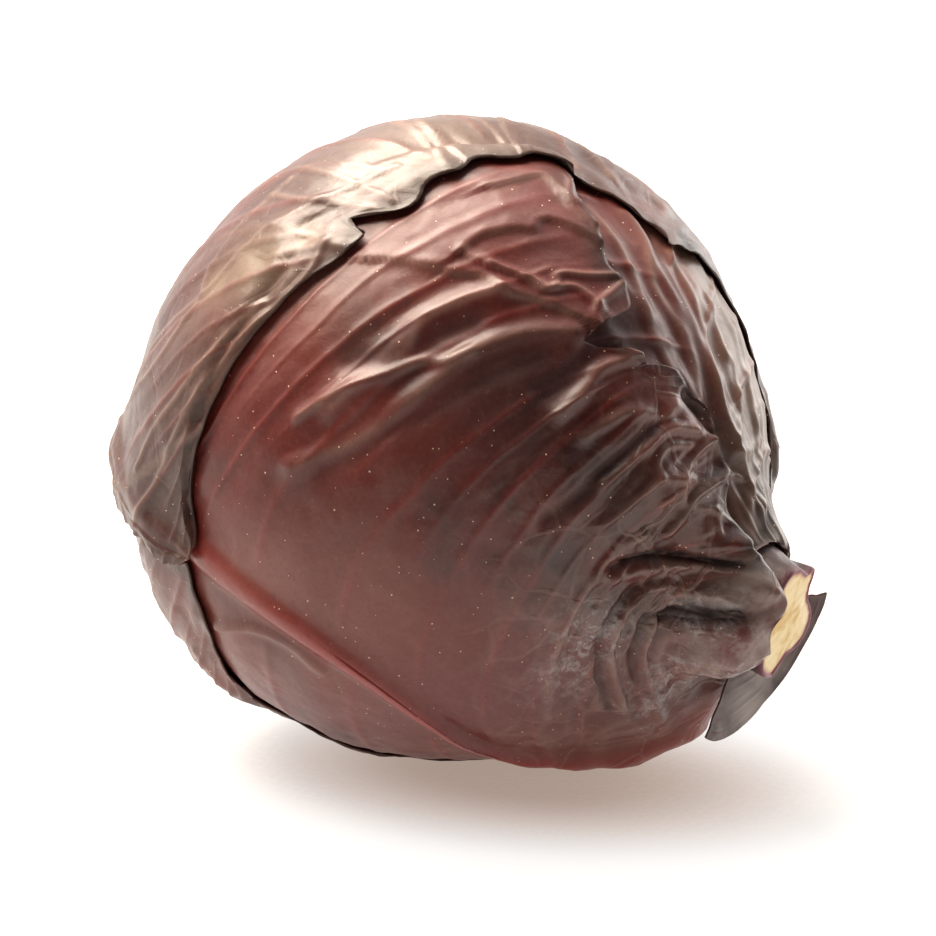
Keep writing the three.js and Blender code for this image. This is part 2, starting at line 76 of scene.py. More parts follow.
FRONT_LEAF = {
    "rib": [[12, 202], [27, 189], [38, 172], [42, 160], [47, 148], [57, 124], [70, 110], [86, 104],
            [103, 103], [114, 105], [121, 107], [125, 110]],
    "left": [[12, 240], [26, 240], [37, 236], [46, 232], [54, 227], [65, 219], [78, 209], [91, 197],
             [104, 182], [114, 164], [121, 146], [126, 130]],
    "right": [[11.3, 34], [12.6, 31], [16, 27], [25, 15], [34, 13], [43, 18], [49, 25], [57, 16], [68, 11],
              [84, 2], [101, 20], [114, 58]],
    "bow": [0, 0, 0, 2, 4, 5, 7, 9, 4, 0, 0, 0],
    "tears": [[0.585, 0.035, 0.1]], "cells": [5, 11], "rib_height": 4.6, "lowest": 2.1,
    "swell": 0.5, "lift": 1.0, "collar": 9.0, "veins": 0.5,
    "wet_glints": [[30, 100, 7, 1.0], [33, 113, 6, 0.8], [14, 135, 6, 1.0], [14, 85, 5, 0.8], [20, 150, 6, 0.8]],
    "red_rib": 1.0, "creased": 0.8,
    # the rosy spots low on the front are dusty pink and partly a painted sheen
    "rosy_and_sheen": [[88, 100, 10, 0.85], [70, 98, 13, 0.45], [80, 122, 16, 0.5], [98, 122, 12, 0.5],
             [95, 50, 11, 0.7]],
    "painted_shade": [[59, 48, 14, 0.85], [45, 46, 12, 0.7], [37, 55, 10, 0.6], [66, 66, 10, 0.25], [26, 130, 12, 0.4],
              [72, 22, 6, 0.4], [85, 78, 9, 0.25], [30, 60, 9, 0.35], [30, 100, 10, 0.2]],
}
UNDER_LEAF = {
    "rib": [[12.2, 228], [28, 230], [45, 231], [62, 230], [79, 228], [95, 225], [108, 220], [118, 212],
            [127, 200], [134, 186], [140, 165]],
    "left": [[12.2, 250], [30, 268], [48, 284], [66, 294], [84, 298], [102, 296], [117, 288], [128, 272],
             [135, 250], [141, 228], [144, 205]],
    "right": [[12.2, 214], [30, 206], [47, 190], [60, 172], [78, 159], [95, 150], [99, 131], [100, 117],
              [105, 107], [117, 99], [135, 105]],
    "tears": [[0.55, 0.02, 0.08]], "cells": [6, 7], "rib_height": 3.4, "lowest": 0,
    "swell": 0.7, "lift": 1.1, "hug": 2.5, "red_rib": 0.25, "rosy_and_sheen": [[92, 140, 22, 0.3]],
    "tabs": [[0.572, 0.006, 0.05]],
}
CROWN_LEAF = {
    "rib": [[11.8, -92], [35, -84], [57, -76], [80, -76], [103, -76], [126, -76], [149, -76], [172, -76],
            [163, 104], [143, 104], [127, 103], [115, 103], [106, 103], [101.8, 102.6]],
    "left": [[11.8, -112], [33, -128], [56, -134], [80, -140], [103, -148], [122, -160], [137, -178],
             [146, 158], [145, 138], [132, 121], [119, 111], [111, 107.5], [106, 106.5], [103.5, 105]],
    "right": [[11.8, -80], [26, -68], [42, -55], [56, -40], [66, -10], [81, 1], [88, 9], [92, 19], [93, 30],
              [97, 43], [104, 60], [107, 78], [106.5, 92], [102, 100.5]],
    "across_crown": True, "tears": [[0.645, 0.02, 0.07]], "cells": [7, 11], "rib_height": 3.0, "lowest": 0,
    "swell": 0.4, "lift": 1.4, "hug": 4.0, "red_rib": 0.1, "veins": 0.6,
    "rosy_and_sheen": [[112, 58, 14, 0.3]],
    "painted_shade": [[112, 96, 9, 0.45], [104, 64, 6, 0.3], [106, 80, 6, 0.3]],
    "tabs": [[0.279, 0.009, 0.06], [0.293, 0.005, 0.07]], "dried": [[62.5, -19.5, 4.2, 1.0]],
    "beige_and_sheen": [[112, 50, 6, 0.8], [118, 56, 4, 0.7], [106, 43, 4, 0.6], [99, 14, 16, 0.35]],
}
CUT_LEAF_BASE = {
    "rib": [[11.3, 212], [13.2, 209], [15.4, 206], [17.7, 203]],
    "left": [[7.6, 262], [9.0, 266], [10.6, 270], [12.4, 272]],
    "right": [[10.6, 174], [13.4, 161], [16.6, 151], [19.2, 146]],
    "steps": [0, 0.5], "cells": [5, 6], "rib_height": 1.4, "lowest": 0, "stub": True, "swell": 0.2,
    "veins": 0.3, "lift": 0,
    "rosy_and_sheen": [[17, 190, 4.5, 0.9], [13, 205, 4.5, 0.8], [23.5, 190.6, 2, 0.7]],
}


def smooth(x):
    """Soft step from 0 to 1: x squared times (3 - 2x), with x kept between 0 and 1."""
    x = np.clip(x, 0, 1)
    return x * x * (3 - 2 * x)


def bell(x):
    """Soft hump: e to the power of minus x squared."""
    return np.exp(-(x * x))


def toward(angles):
    """Unit direction: cosine of the polar angle along the stem axis, its sine across, turned by longitude."""
    angles = np.radians(np.asarray(angles, float))
    polar, longitude = angles[..., 0], angles[..., 1]
    across = np.cos(longitude)[..., None] * TOP + np.sin(longitude)[..., None] * FRONT
    return np.cos(polar)[..., None] * AXIS + np.sin(polar)[..., None] * across


def angles_of(d):
    """Polar angle and longitude, in degrees, of unit directions."""
    polar = np.degrees(np.arccos(np.clip(d @ AXIS, -1, 1)))
    return polar, np.degrees(np.arctan2(d @ FRONT, d @ TOP))


def along(rows, s):
    """Catmull-Rom curve through the rows at shares s of the way, with its ends mirrored."""
    rows = np.asarray(rows, float)
    rows = rows[:, None] if rows.ndim == 1 else rows
    rows = np.vstack([2 * rows[0] - rows[1], rows, 2 * rows[-1] - rows[-2]])
    x = np.clip(s, 0, 1) * (len(rows) - 3)
    i = np.minimum(x.astype(int), len(rows) - 4)
    f = (x - i)[..., None]
    a, b, c, d = rows[i], rows[i + 1], rows[i + 2], rows[i + 3]
    return b + 0.5 * ((c - a) * f + (2 * a - 5 * b + 4 * c - d) * f**2 + (3 * b - a - 3 * c + d) * f**3)


def stem_outline(longitude):
    """Distance of the frame's stem from its axis: an oval, 12 + 3.2 cos 2(longitude - 22), less a notch."""
    from_notch = (longitude - 57 + 540) % 360 - 180
    return 12 + 3.2 * np.cos(2 * np.radians(longitude - 22)) - 3 * bell(from_notch / 13)


def leaf_direction(leaf, s, t, ragged=0):
    """Direction at s along the midrib and t across, from -1 at the left margin to 1 at the right: a share of
    the way from the midrib to the margin, less the scallops, the tears and the ragged nibbles near the margin.
    With nibbles it is the fine leaf: rounded tears, tabs, and a seat that follows the collar up the stem."""
    veins = len(leaf["rib"]) - 1
    fine = np.ndim(ragged) > 0
    tears = sum(depth * (smooth if fine else np.abs)(np.clip(1 - np.abs(s - at) / width, 0, None))
                for at, width, depth in leaf.get("tears", []))
    tabs = sum(reach * bell((s - at) / width) for at, width, reach in leaf.get("tabs", [])) if fine else 0
    cut = SCALLOP * np.sin(np.pi * s * veins) ** 2 + np.where(t < 0, 0, tears - tabs) + ragged
    share = (np.abs(t) * (1 - cut * smooth(2 * np.abs(t) - 1)))[..., None]
    left = (t < 0)[..., None]
    if leaf.get("across_crown"):
        rib, margin = along(toward(leaf["rib"]), s), np.where(
            left, along(toward(leaf["left"]), s), along(toward(leaf["right"]), s))
        rib /= np.linalg.norm(rib, axis=-1, keepdims=True)
        margin /= np.linalg.norm(margin, axis=-1, keepdims=True)
        angle = np.maximum(np.arccos(np.clip(np.sum(rib * margin, -1, keepdims=True), -1, 1)), 1e-6)
        d = (np.sin((1 - share) * angle) * rib + np.sin(share * angle) * margin) / np.sin(angle)
        polar, longitude = angles_of(d)
    else:
        rib, margin = along(leaf["rib"], s), np.where(left, along(leaf["left"], s), along(leaf["right"], s))
        angles = rib + (margin - rib) * share
        bow = along(leaf.get("bow", [0, 0]), s)[..., 0] * np.sin(np.pi * share[..., 0] ** 0.6)
        polar, longitude = angles[..., 0] + np.where(t < 0, 0, bow), angles[..., 1]
    if not leaf.get("stub"):
        climb = leaf.get("collar", 0) if fine else 0
        seat = np.degrees(np.arctan((stem_outline(longitude) + (0.5 if climb else 1)) / (STEM_SEAT + climb)))
        polar = polar + (seat - polar) * smooth(1 - 12 * s)
    return toward(np.stack([polar, longitude], -1))


def frame_grid(leaf):
    """The shares along and across at which the frame's leaf has its corners."""
    veins = len(leaf["rib"]) - 1
    stations = [(k + f) / veins for k in range(veins) for f in leaf.get("steps", VEIN_STEPS)] + [1.0]
    left, right = leaf["cells"]
    across = [-((j / left) ** 1.15) for j in range(left, 0, -1)]
    across += [(j / right) ** 1.15 for j in range(right + 1)]
    return np.array(stations), np.array(across)


def frame_inner(leaf, node):
    """Inner radius of the frame's leaf at its corners: of the node's points that lie in a corner's direction,
    the one nearest to the head's centre."""
    stations, across = frame_grid(leaf)
    d = leaf_direction(leaf, *np.meshgrid(stations, across, indexing="ij"))
    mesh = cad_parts[node].data
    points = np.empty(len(mesh.vertices) * 3, np.float32)
    mesh.vertices.foreach_get("co", points)
    points = points.reshape(-1, 3).astype(float) * 1000 - HEAD_CENTRE
    radius = np.linalg.norm(points, axis=1)
    nearby = d.reshape(-1, 3) @ (points / radius[:, None]).T > 1 - 5e-7
    inner = np.where(nearby, radius, np.inf).min(1)
    if np.isinf(inner).any():
        raise RuntimeError(f"{node}: {np.isinf(inner).sum()} corners of the frame's leaf were not found")
    return inner.reshape(d.shape[:2])


def through(knots, values, x):
    """Smooth curve through values at uneven knots along the first axis: Hermite, slopes from neighbours."""
    slope = np.gradient(values, knots, axis=0)
    i = np.clip(np.searchsorted(knots, x, side="right") - 1, 0, len(knots) - 2)
    width = (knots[i + 1] - knots[i])[:, None]
    f = ((x - knots[i]) / (knots[i + 1] - knots[i]))[:, None]
    return (values[i] * (1 + 2 * f) * (1 - f) ** 2 + slope[i] * width * f * (1 - f) ** 2
            + values[i + 1] * f * f * (3 - 2 * f) + slope[i + 1] * width * f * f * (f - 1))


def value_noise(points, size, seed=0):
    """Soft noise from -1 to 1: hashed values on a cubic lattice of that size, blended between corners."""
    q = points / size + 37.2 * seed + 500
    cell = np.floor(q).astype(np.int64)
    f = smooth(q - cell)
    total = 0
    for corner in range(8):
        step = np.array([corner & 1, corner >> 1 & 1, corner >> 2])
        n = (cell + step) @ np.array([374761393, 668265263, 2147483647])
        n = ((n ^ (n >> 13)) * 1274126177) & 0x7FFFFFFF
        value = ((n ^ (n >> 16)) & 0xFFFF) / 32767.5 - 1
        total = total + value * np.prod(np.where(step, f, 1 - f), axis=-1)
    return total


def rough_noise(points, size, seed=0):
    """Soft noise with two finer octaves, each half as strong as the one before."""
    return sum(value_noise(points, size / 2**k, seed + k) / 2**k for k in range(3)) / 1.75


def net(points, size, seed=0):
    """Thin lines of an irregular net: 1 on the borders between cells round jittered lattice points, else 0."""
    q = points / size + 300
    cell = np.floor(q).astype(np.int64)
    nearest = np.full(q.shape[:-1], 9.0)
    second = np.full(q.shape[:-1], 9.0)
    for k in range(27):
        corner = cell + np.array([k % 3 - 1, k // 3 % 3 - 1, k // 9 - 1])
        n = corner @ np.array([73856093, 19349663, 83492791]) + seed * 7919
        jitter = np.stack([((n * m ^ (n >> 7)) & 0xFFFF) / 65535 for m in (1103515245, 69069, 22695477)], -1)
        distance = np.linalg.norm(corner + jitter - q, axis=-1)
        second = np.minimum(second, np.maximum(distance, nearest))
        nearest = np.minimum(nearest, distance)
    return np.exp(-(((second - nearest) / 0.11) ** 2))


def line_distance(d, line):
    """Distance in millimetres from each direction to a soft curve through the line's angles, and its side."""
    count = max(2, 5 * (len(line) - 1) + 1)
    curve = along(toward(line), np.linspace(0, 1, count))
    curve /= np.linalg.norm(curve, axis=-1, keepdims=True)
    best = np.full(d.shape[:-1], 9.0)
    side = np.zeros(d.shape[:-1])
    for a, b in zip(curve[:-1], curve[1:]):
        ab = b - a
        f = np.clip((d - a) @ ab / (ab @ ab), 0, 1)[..., None]
        gap = d - a - f * ab
        distance = np.linalg.norm(gap, axis=-1)
        closer = distance < best
        side = np.where(closer, np.sign(gap @ np.cross(a, ab)), side)
        best = np.minimum(best, distance)
    return best * SKIN_RADIUS, side


# Lines on the leaves, as kind, angles, height and width in millimetres: ridges stand up, grooves and cuts sink
# in, folds stand up on one side of the line only
FRONT_MARKS = [
    ("ridge", [[85, 66], [79, 53], [79, 47], [76, 41], [72, 35]], 1.1, 3.0),
    ("ridge", [[88, 78], [79, 69], [74, 59], [71, 51], [69, 45], [65, 39], [59, 32]], 1.2, 2.2),
    ("ridge", [[90, 70], [85, 63], [80, 58], [76, 53], [73, 51], [70, 47]], 0.8, 1.2),
    ("groove", [[86, 58], [80, 55], [76, 48], [72, 43]], 0.8, 3.0),
    ("groove", [[83, 74], [76, 66], [70, 57], [66, 49], [61, 41]], 0.8, 3.2),
    ("fold", [[93, 42], [88, 40], [79, 37], [76, 35], [71, 35], [66, 32], [59, 29], [54, 28], [49, 26]],
     1.2, 3.0),
    ("ridge", [[76, 32], [70, 30], [67, 30], [64, 25], [60, 24], [54, 25]], 0.8, 0.9),
    ("fold", [[81, 33], [80, 28], [77, 23], [75, 21], [75, 17], [67, 13], [60, 14]], 1.1, 4.2),
    ("ridge", [[81, 33], [76, 32], [70, 30], [66, 28], [67, 25], [64, 21], [60, 14]], 0.7, 0.8),
    ("fold", [[86, 18], [84, 13], [82, 8], [74, 11], [66, 11], [59, 14]], 1.0, 3.0),
    ("ridge", [[80, 2], [76, 9], [73, 8], [66, 11]], 0.7, 0.9),
    ("ridge", [[59, 14], [59, 19], [59, 25], [55, 28], [49, 26]], 0.9, 1.0),
    ("ridge", [[53, 47], [52, 39], [52, 35], [51, 31], [49, 25]], 1.2, 1.6),
    ("groove", [[57, 46], [55, 38], [55, 32]], 1.0, 2.4),
    ("ridge", [[48, 48], [46, 42], [44, 36], [39, 30], [39, 24]], 0.8, 1.5),
    ("ridge", [[41, 54], [39, 44], [38, 36], [37, 30], [33, 22]], 1.0, 1.1),
    ("groove", [[46, 67], [43, 59], [42, 53], [40, 43], [39, 31]], 0.9, 1.8),
    ("ridge", [[37, 62], [35, 54], [34, 49], [33, 43], [30, 38], [28, 34]], 0.8, 0.8),
    ("ridge", [[33, 43], [35, 40], [35, 34], [32, 27]], 0.6, 0.7),
    ("ridge", [[30, 17], [30, 25], [30, 36], [29, 39], [27, 43]], 1.0, 0.9),
    ("ridge", [[30, 17], [26, 16], [24, 18], [25, 29], [26, 39], [25, 47], [25, 54]], 1.1, 1.0),
    ("ridge", [[25, 42], [21, 33], [18, 39]], 0.5, 0.6),
    ("ridge", [[21, 33], [16, 25], [19, 22], [22, 20]], 0.6, 0.7),
    ("groove", [[38, 18], [35, 17], [33, 16]], 1.5, 1.2),
    ("groove", [[31, 73], [27, 68], [23, 62], [17, 54], [13, 40]], 1.1, 1.2),
    ("ridge", [[33, 79], [29, 76], [24, 70], [18, 62]], 0.8, 1.2),
    ("groove", [[17, 92], [15, 84], [12, 78], [10, 66]], 1.2, 1.7),
    ("ridge", [[20, 88], [17, 79], [14, 68]], 1.2, 1.0),
    ("ridge", [[16, 83], [19, 95], [20, 112], [20, 131], [24, 165]], 1.1, 0.9),
    ("groove", [[18, 82], [21, 95], [22, 112], [22, 131]], 0.8, 1.0),
    ("ridge", [[14, 95], [17, 108], [18, 125], [19, 150]], 0.8, 1.2),
    ("ridge", [[12, 110], [14, 121], [15, 135], [17, 160]], 0.6, 1.2),
    ("ridge", [[20, 75], [23, 80], [25, 88], [26, 101], [26, 115], [26, 143]], 1.3, 1.0),
    ("groove", [[22, 74], [25, 80], [27, 88], [28, 101], [28, 118], [28, 140]], 0.9, 1.1),
    ("ridge", [[29, 60], [31, 66], [33, 77], [35, 91], [36, 102], [37, 114], [38, 130]], 1.0, 1.8),
    ("ridge", [[98, 118], [90, 112], [82, 111], [76, 115]], 1.0, 1.3),
    ("cut", [[38.4, 18.2], [36.4, 17.2], [34.4, 16.2]], 2.4, 1.3),
    ("cut", [[33.3, 16.4], [29.9, 15.8], [26.9, 15.4], [23.6, 14.6]], 2.2, 0.6),
    ("cut", [[29.0, 69.5], [25.0, 64.0], [20.5, 60.0], [17.0, 55.0], [14.2, 46.0]], 2.4, 0.55),
    ("cut", [[18.0, 92.0], [15.8, 88.0], [13.6, 82.0], [11.9, 74.0]], 3.0, 0.9),
]
CROWN_MARKS = [
    ("ridge", [[125, 125], [119, 119], [114, 99], [110, 76], [106, 62], [101, 50], [101, 42]], 0.4, 0.8),
    ("fold", [[132, 116], [124, 104], [116, 93], [106, 78], [101, 65], [99, 55]], 0.39, 5.0),
    ("ridge", [[138, 84], [132, 71], [121, 59], [115, 45], [107, 34], [101, 23]], 0.4, 0.8),
    ("fold", [[150, 80], [143, 62], [133, 48], [118, 44], [107, 43], [97, 43]], 0.39, 5.0),
    ("ridge", [[130, 28], [124, 25], [114, 28], [101, 30], [96, 31]], 0.4, 0.7),
    ("ridge", [[122, 34], [112, 36], [106, 35], [98, 34]], 0.48, 0.9),
    ("fold", [[111, 4], [103, 11], [97, 14], [92, 16]], 0.5, 2.6),
    ("fold", [[124, 0], [116, 4], [100, 15], [95, 19]], 0.39, 3.2),
    ("fold", [[108, -6], [98, 0], [89, 6]], 0.5, 2.6),
    ("fold", [[100, -14], [88, -9], [80, -1]], 0.44, 2.6),
    ("groove", [[104, 56], [110, 50], [118, 47]], 0.33, 2.5),
    ("ridge", [[108, 48], [103, 44], [98, 42]], 0.4, 1.4),
    ("ridge", [[141, 101], [128, 79], [121, 62], [123, 56], [123, 45], [121, 29]], 0.4, 0.9),
    ("ridge", [[119, 95], [118, 87], [114, 77], [110, 67], [106, 56]], 0.4, 0.8),
    ("ridge", [[101, -8], [95, -1], [88, 4]], 0.4, 0.8),
    ("ridge", [[94, -18], [84, -14], [73, -10]], 0.48, 1.0),
    ("fold", [[84, -24], [70, -20], [58, -18]], 0.44, 2.4),
]
SHOULDER_MARKS = [
    ("ridge", [[70, -5], [64, -3], [56, 4], [46, 5], [36, 9]], 0.6, 1.7),
    ("ridge", [[61, -10], [48, -7], [38, 0], [28, 2], [16, -6]], 0.68, 1.5),
    ("ridge", [[74, 3], [66, 5], [57, 9], [50, 14], [43, 15]], 0.52, 1.5),
    ("groove", [[66, -8], [58, -3], [48, 0], [38, 4], [30, 8]], 0.52, 1.8),
    ("ridge", [[52, -16], [42, -12], [39, -15], [35, -14], [31, -12], [27, -1]], 0.75, 1.4),
    ("ridge", [[48, -28], [40, -28], [31, -23], [26, -30]], 0.68, 1.7),
    ("ridge", [[25, 3], [24, -8], [26, -28]], 0.6, 1.2),
    ("ridge", [[23, -27], [20, -9], [17, 4], [12, 17]], 0.75, 1.5),
    ("ridge", [[23, 11], [19, 13], [13, 19]], 0.6, 1.4),
    ("groove", [[17, -25], [14, -12], [12, 5], [12, 25]], 0.98, 1.8),
    ("groove", [[20, -16], [17, -2], [14, 10]], 0.6, 1.8),
]
UNDER_MARKS = [
    ("ridge", [[104, 130], [98, 150], [88, 165], [76, 180]], 0.6, 1.2),
    ("fold", [[118, 118], [112, 135], [104, 150], [96, 162]], 0.5, 3.0),
    ("ridge", [[92, 150], [84, 158], [70, 162], [56, 172]], 0.6, 1.0),
]


def marked(d, marks):
    """Height that the marks add, how near their crests a point is, and how deep in a cut: the height times
    e^-(distance/width)^2 for a ridge, less it for a groove or cut, and for a fold a soft step times
    e^-(distance/width)."""
    height = np.zeros(d.shape[:-1])
    crest = np.zeros(d.shape[:-1])
    cuts = np.zeros(d.shape[:-1])
    flat = d.reshape(-1, 3)
    for kind, line, most, width in marks:
        way = toward(line)
        middle = way.mean(0) / np.linalg.norm(way.mean(0))
        reach = np.cos(np.arccos(np.clip(way @ middle, -1, 1)).max() + 6 * width / SKIN_RADIUS)
        near = (flat @ middle > reach).reshape(d.shape[:-1])
        distance, side = line_distance(d[near], line)
        if kind == "fold":
            added = most * (0.5 + 0.5 * np.tanh(side * distance / 0.5)) * np.exp(-distance / width)
        else:
            added = most * bell(distance / width) * (1 if kind == "ridge" else -1)
        height[near] += added
        if kind == "cut":
            cuts[near] = np.maximum(cuts[near], bell(distance / width))
        elif kind != "groove":
            crest[near] = np.maximum(crest[near], bell(distance / (0.5 + 0.3 * min(width, 1.5))))
    return height, crest, cuts


def spots(d, places):
    """Soft spots: the greatest of strength times e^-(angle/spread)^2 over the places."""
    found = np.zeros(d.shape[:-1])
    for polar, longitude, spread, strength in places:
        angle = np.degrees(np.arccos(np.clip(d @ toward([polar, longitude]), -1, 1)))
        found = np.maximum(found, strength * bell(angle / spread))
    return found


def leaf_relief(leaf, s, t, d, marks, netting):
    """Thickness of a leaf above its inner face: blade, midrib, crests of the side veins, a swell between them
    that leans towards the tip, half-way veins, a net of small veins, long ribs, creases near the stem, the
    marked folds and fine crumples. Also gives the colour guides, each from 0 to 1."""
    points = d * SKIN_RADIUS
    veins = len(leaf["rib"]) - 1
    place = s * veins
    between = place - np.round(place)
    out = smooth(np.abs(t) * 5) * smooth((1 - np.abs(t)) * 6)
    taper = 1 - 0.88 * s
    midrib = leaf_direction(leaf, s, np.zeros_like(t))
    to_rib = np.arccos(np.clip(np.sum(d * midrib, -1), -1, 1)) * HEAD_RADIUS
    rib_shape = np.exp(-((to_rib / (6.0 * (0.4 + 0.6 * taper))) ** 4)) * 0.6
    rib_shape += 0.4 * bell(to_rib / (6.5 * (0.35 + 0.65 * taper)))
    seat = smooth(0.35 + 6 * s)
    drift = 0.05 * rough_noise(points, 16, 3) * out
    crest = bell((between + drift) / 0.05) * out
    swell = np.sin(np.pi * (place % 1) ** 0.72) ** 2 * out * smooth(8 * s)
    halfway = bell((place % 1 - 0.52 + 0.12 * rough_noise(points, 20, 9)) / 0.05) * out
    halfway = halfway * smooth(4 * np.abs(t) - 1)
    polar, _ = angles_of(d)
    near_stem = smooth((60 - polar) / 30)
    warped = points + 2.2 * np.stack([rough_noise(points, 14, k) for k in (21, 22, 23)], -1)
    mesh_lines = net(warped, 13, 5)
    fine_lines = net(warped, 6.5, 11)
    marks_height, marks_crest, cuts = marked(d, marks)
    long_lines = np.radians(angles_of(d)[1]) * 30 + 1.1 * rough_noise(points, 18, 81)
    ribbing = leaf.get("ribbing", 0) * (0.5 + 0.5 * np.cos(long_lines)) ** 3 * smooth((80 - polar) / 30)
    creased = leaf.get("creased", 0) * smooth((42 - polar) / 20) * np.clip(
        1 - 3.2 * np.abs(rough_noise(warped, 10, 91)), 0, 1) ** 2 * out
    height = (
        BLADE * 0.8
        + seat * leaf["rib_height"] * taper * rib_shape
        + leaf.get("veins", 1) * (0.4 * crest + 0.6 * bell((between + drift) / 0.13) * out)
        + leaf["swell"] * swell
        + 0.25 * halfway
        + netting * (0.3 + 0.7 * near_stem) * (0.55 * mesh_lines + 0.12 * fine_lines)
        + 0.3 * rough_noise(points, 11, 31) + 0.1 * rough_noise(points, 3.2, 41)
        + 0.9 * ribbing + creased
        + marks_height
    )
    netted = netting * (0.25 + 0.75 * near_stem) * mesh_lines
    guides = {
        "rib": leaf.get("red_rib", 0) * rib_shape * smooth((1.05 - s) / 0.6) * smooth(8 * s),
        "vein": np.maximum(crest, 0.5 * halfway),
        "line": np.clip(np.maximum(marks_crest * 0.9 + 0.5 * ribbing + 0.5 * creased, netted), 0, 1),
        # painted shade: grooves and cuts get a near-black colour from this mask
        "hollow_shade": np.maximum(np.clip(-marks_height / 2.0, 0, 0.6), smooth(1.6 * cuts)),
        "near_stem": near_stem,
        "rosy_and_sheen": spots(d, leaf.get("rosy_and_sheen", [])),
        "painted_shade": spots(d, leaf.get("painted_shade", [])),
        "dried": spots(d, leaf.get("dried", [])),
        "wet_glints": spots(d, leaf.get("wet_glints", [])),
        "beige_and_sheen": spots(d, leaf.get("beige_and_sheen", [])),
        "skin": smooth((16 - polar) / 3.5),
    }
    return np.maximum(height, 0.5 - 1.2 * cuts), guides


def pressed(d, radius, height):
    """Radius kept so that the point stays this high above the ground: at most (centre's height - height) /
    down, where down is how far the direction points down."""
    down = np.maximum(-d[..., 2], 0.3)
    return np.minimum(radius, (HEAD_CENTRE[2] - height) / down)


class Reach:
    """How far the pieces that are already made reach from the head's centre, in cells of half a degree of
    polar angle and of longitude."""

    def __init__(self):
        self.radius = np.zeros((360, 720))

    def add(self, d, radius):
        """Keeps the greatest radius in each cell, and fills small gaps from their neighbours."""
        polar, longitude = angles_of(d)
        fresh = np.zeros_like(self.radius)
        cell = (np.clip(polar * 2, 0, 359).astype(int).ravel(),
                ((longitude % 360) * 2).astype(int).ravel() % 720)
        np.maximum.at(fresh, cell, radius.ravel())
        for _ in range(3):
            around = np.roll(fresh, 1, 1), np.roll(fresh, -1, 1), np.roll(fresh, 1, 0), np.roll(fresh, -1, 0)
            fresh = np.where(fresh > 0, fresh, np.maximum.reduce(around))
        self.radius = np.maximum(self.radius, fresh)

    def at(self, d):
        """Greatest radius of the four cells round each direction."""
        polar, longitude = angles_of(d)
        i, j = np.floor(polar * 2 - 0.5).astype(int), np.floor((longitude % 360) * 2 - 0.5).astype(int)
        found = [self.radius[np.clip(i + a, 0, 359), (j + b) % 720] for a in (0, 1) for b in (0, 1)]
        return np.maximum.reduce(found)


made_so_far = Reach()


def softened(grid, rounds):
    """Each value moves to the mean of itself and its four neighbours, that many times."""
    for _ in range(rounds):
        wide = np.pad(grid, 1, mode="edge")
        grid = (4 * grid + wide[2:, 1:-1] + wide[:-2, 1:-1] + wide[1:-1, 2:] + wide[1:-1, :-2]) / 8
    return grid


def solid(name, points, faces, guides):
    """Mesh object from points in millimetres and faces, turned outwards by the sign of its volume."""
    mesh = bpy.data.meshes.new(name)
    placed = (points + HEAD_CENTRE) / 1000
    mesh.from_pydata(placed.tolist(), [], faces)
    mesh.update()
    loops = np.array([f[:3] for f in faces])
    a, b, c = points[loops[:, 0]], points[loops[:, 1]], points[loops[:, 2]]
    if np.einsum("ij,ij->", a, np.cross(b, c)) < 0:
        mesh.flip_normals()
    for label, values in guides.items():
        layer = mesh.attributes.new(label, "FLOAT", "POINT")
        layer.data.foreach_set("value", np.asarray(values, np.float32).ravel())
    mesh.polygons.foreach_set("use_smooth", np.ones(len(mesh.polygons), bool))
    made = bpy.data.objects.new(name, mesh)
    bpy.context.scene.collection.objects.link(made)
    return made


def shell_faces(rows, columns, step):
    """Faces of a closed shell: an outer grid of rows by columns, an inner one with every step-th of them,
    facing the other way, and a rim whose faces join each inner edge to the outer edges beside it."""
    def grid(r, c, first):
        a = (np.arange(r - 1)[:, None] * c + np.arange(c - 1)[None]).ravel() + first
        return np.stack([a, a + 1, a + c + 1, a + c], 1)

    inner_rows, inner_columns = (rows - 1) // step + 1, (columns - 1) // step + 1
    count = rows * columns
    faces = grid(rows, columns, 0).tolist() + grid(inner_rows, inner_columns, count)[:, ::-1].tolist()

    outer = np.arange(count).reshape(rows, columns)
    inner = (np.arange(inner_rows * inner_columns) + count).reshape(inner_rows, inner_columns)
    sides = [(outer[0], inner[0]), (outer[:, -1], inner[:, -1]),
             (outer[-1, ::-1], inner[-1, ::-1]), (outer[::-1, 0], inner[::-1, 0])]
    for o, i in sides:
        for k in range(len(i) - 1):
            faces.append([int(i[k]), int(i[k + 1]), *o[k * step:(k + 1) * step + 1][::-1].tolist()])
    return faces


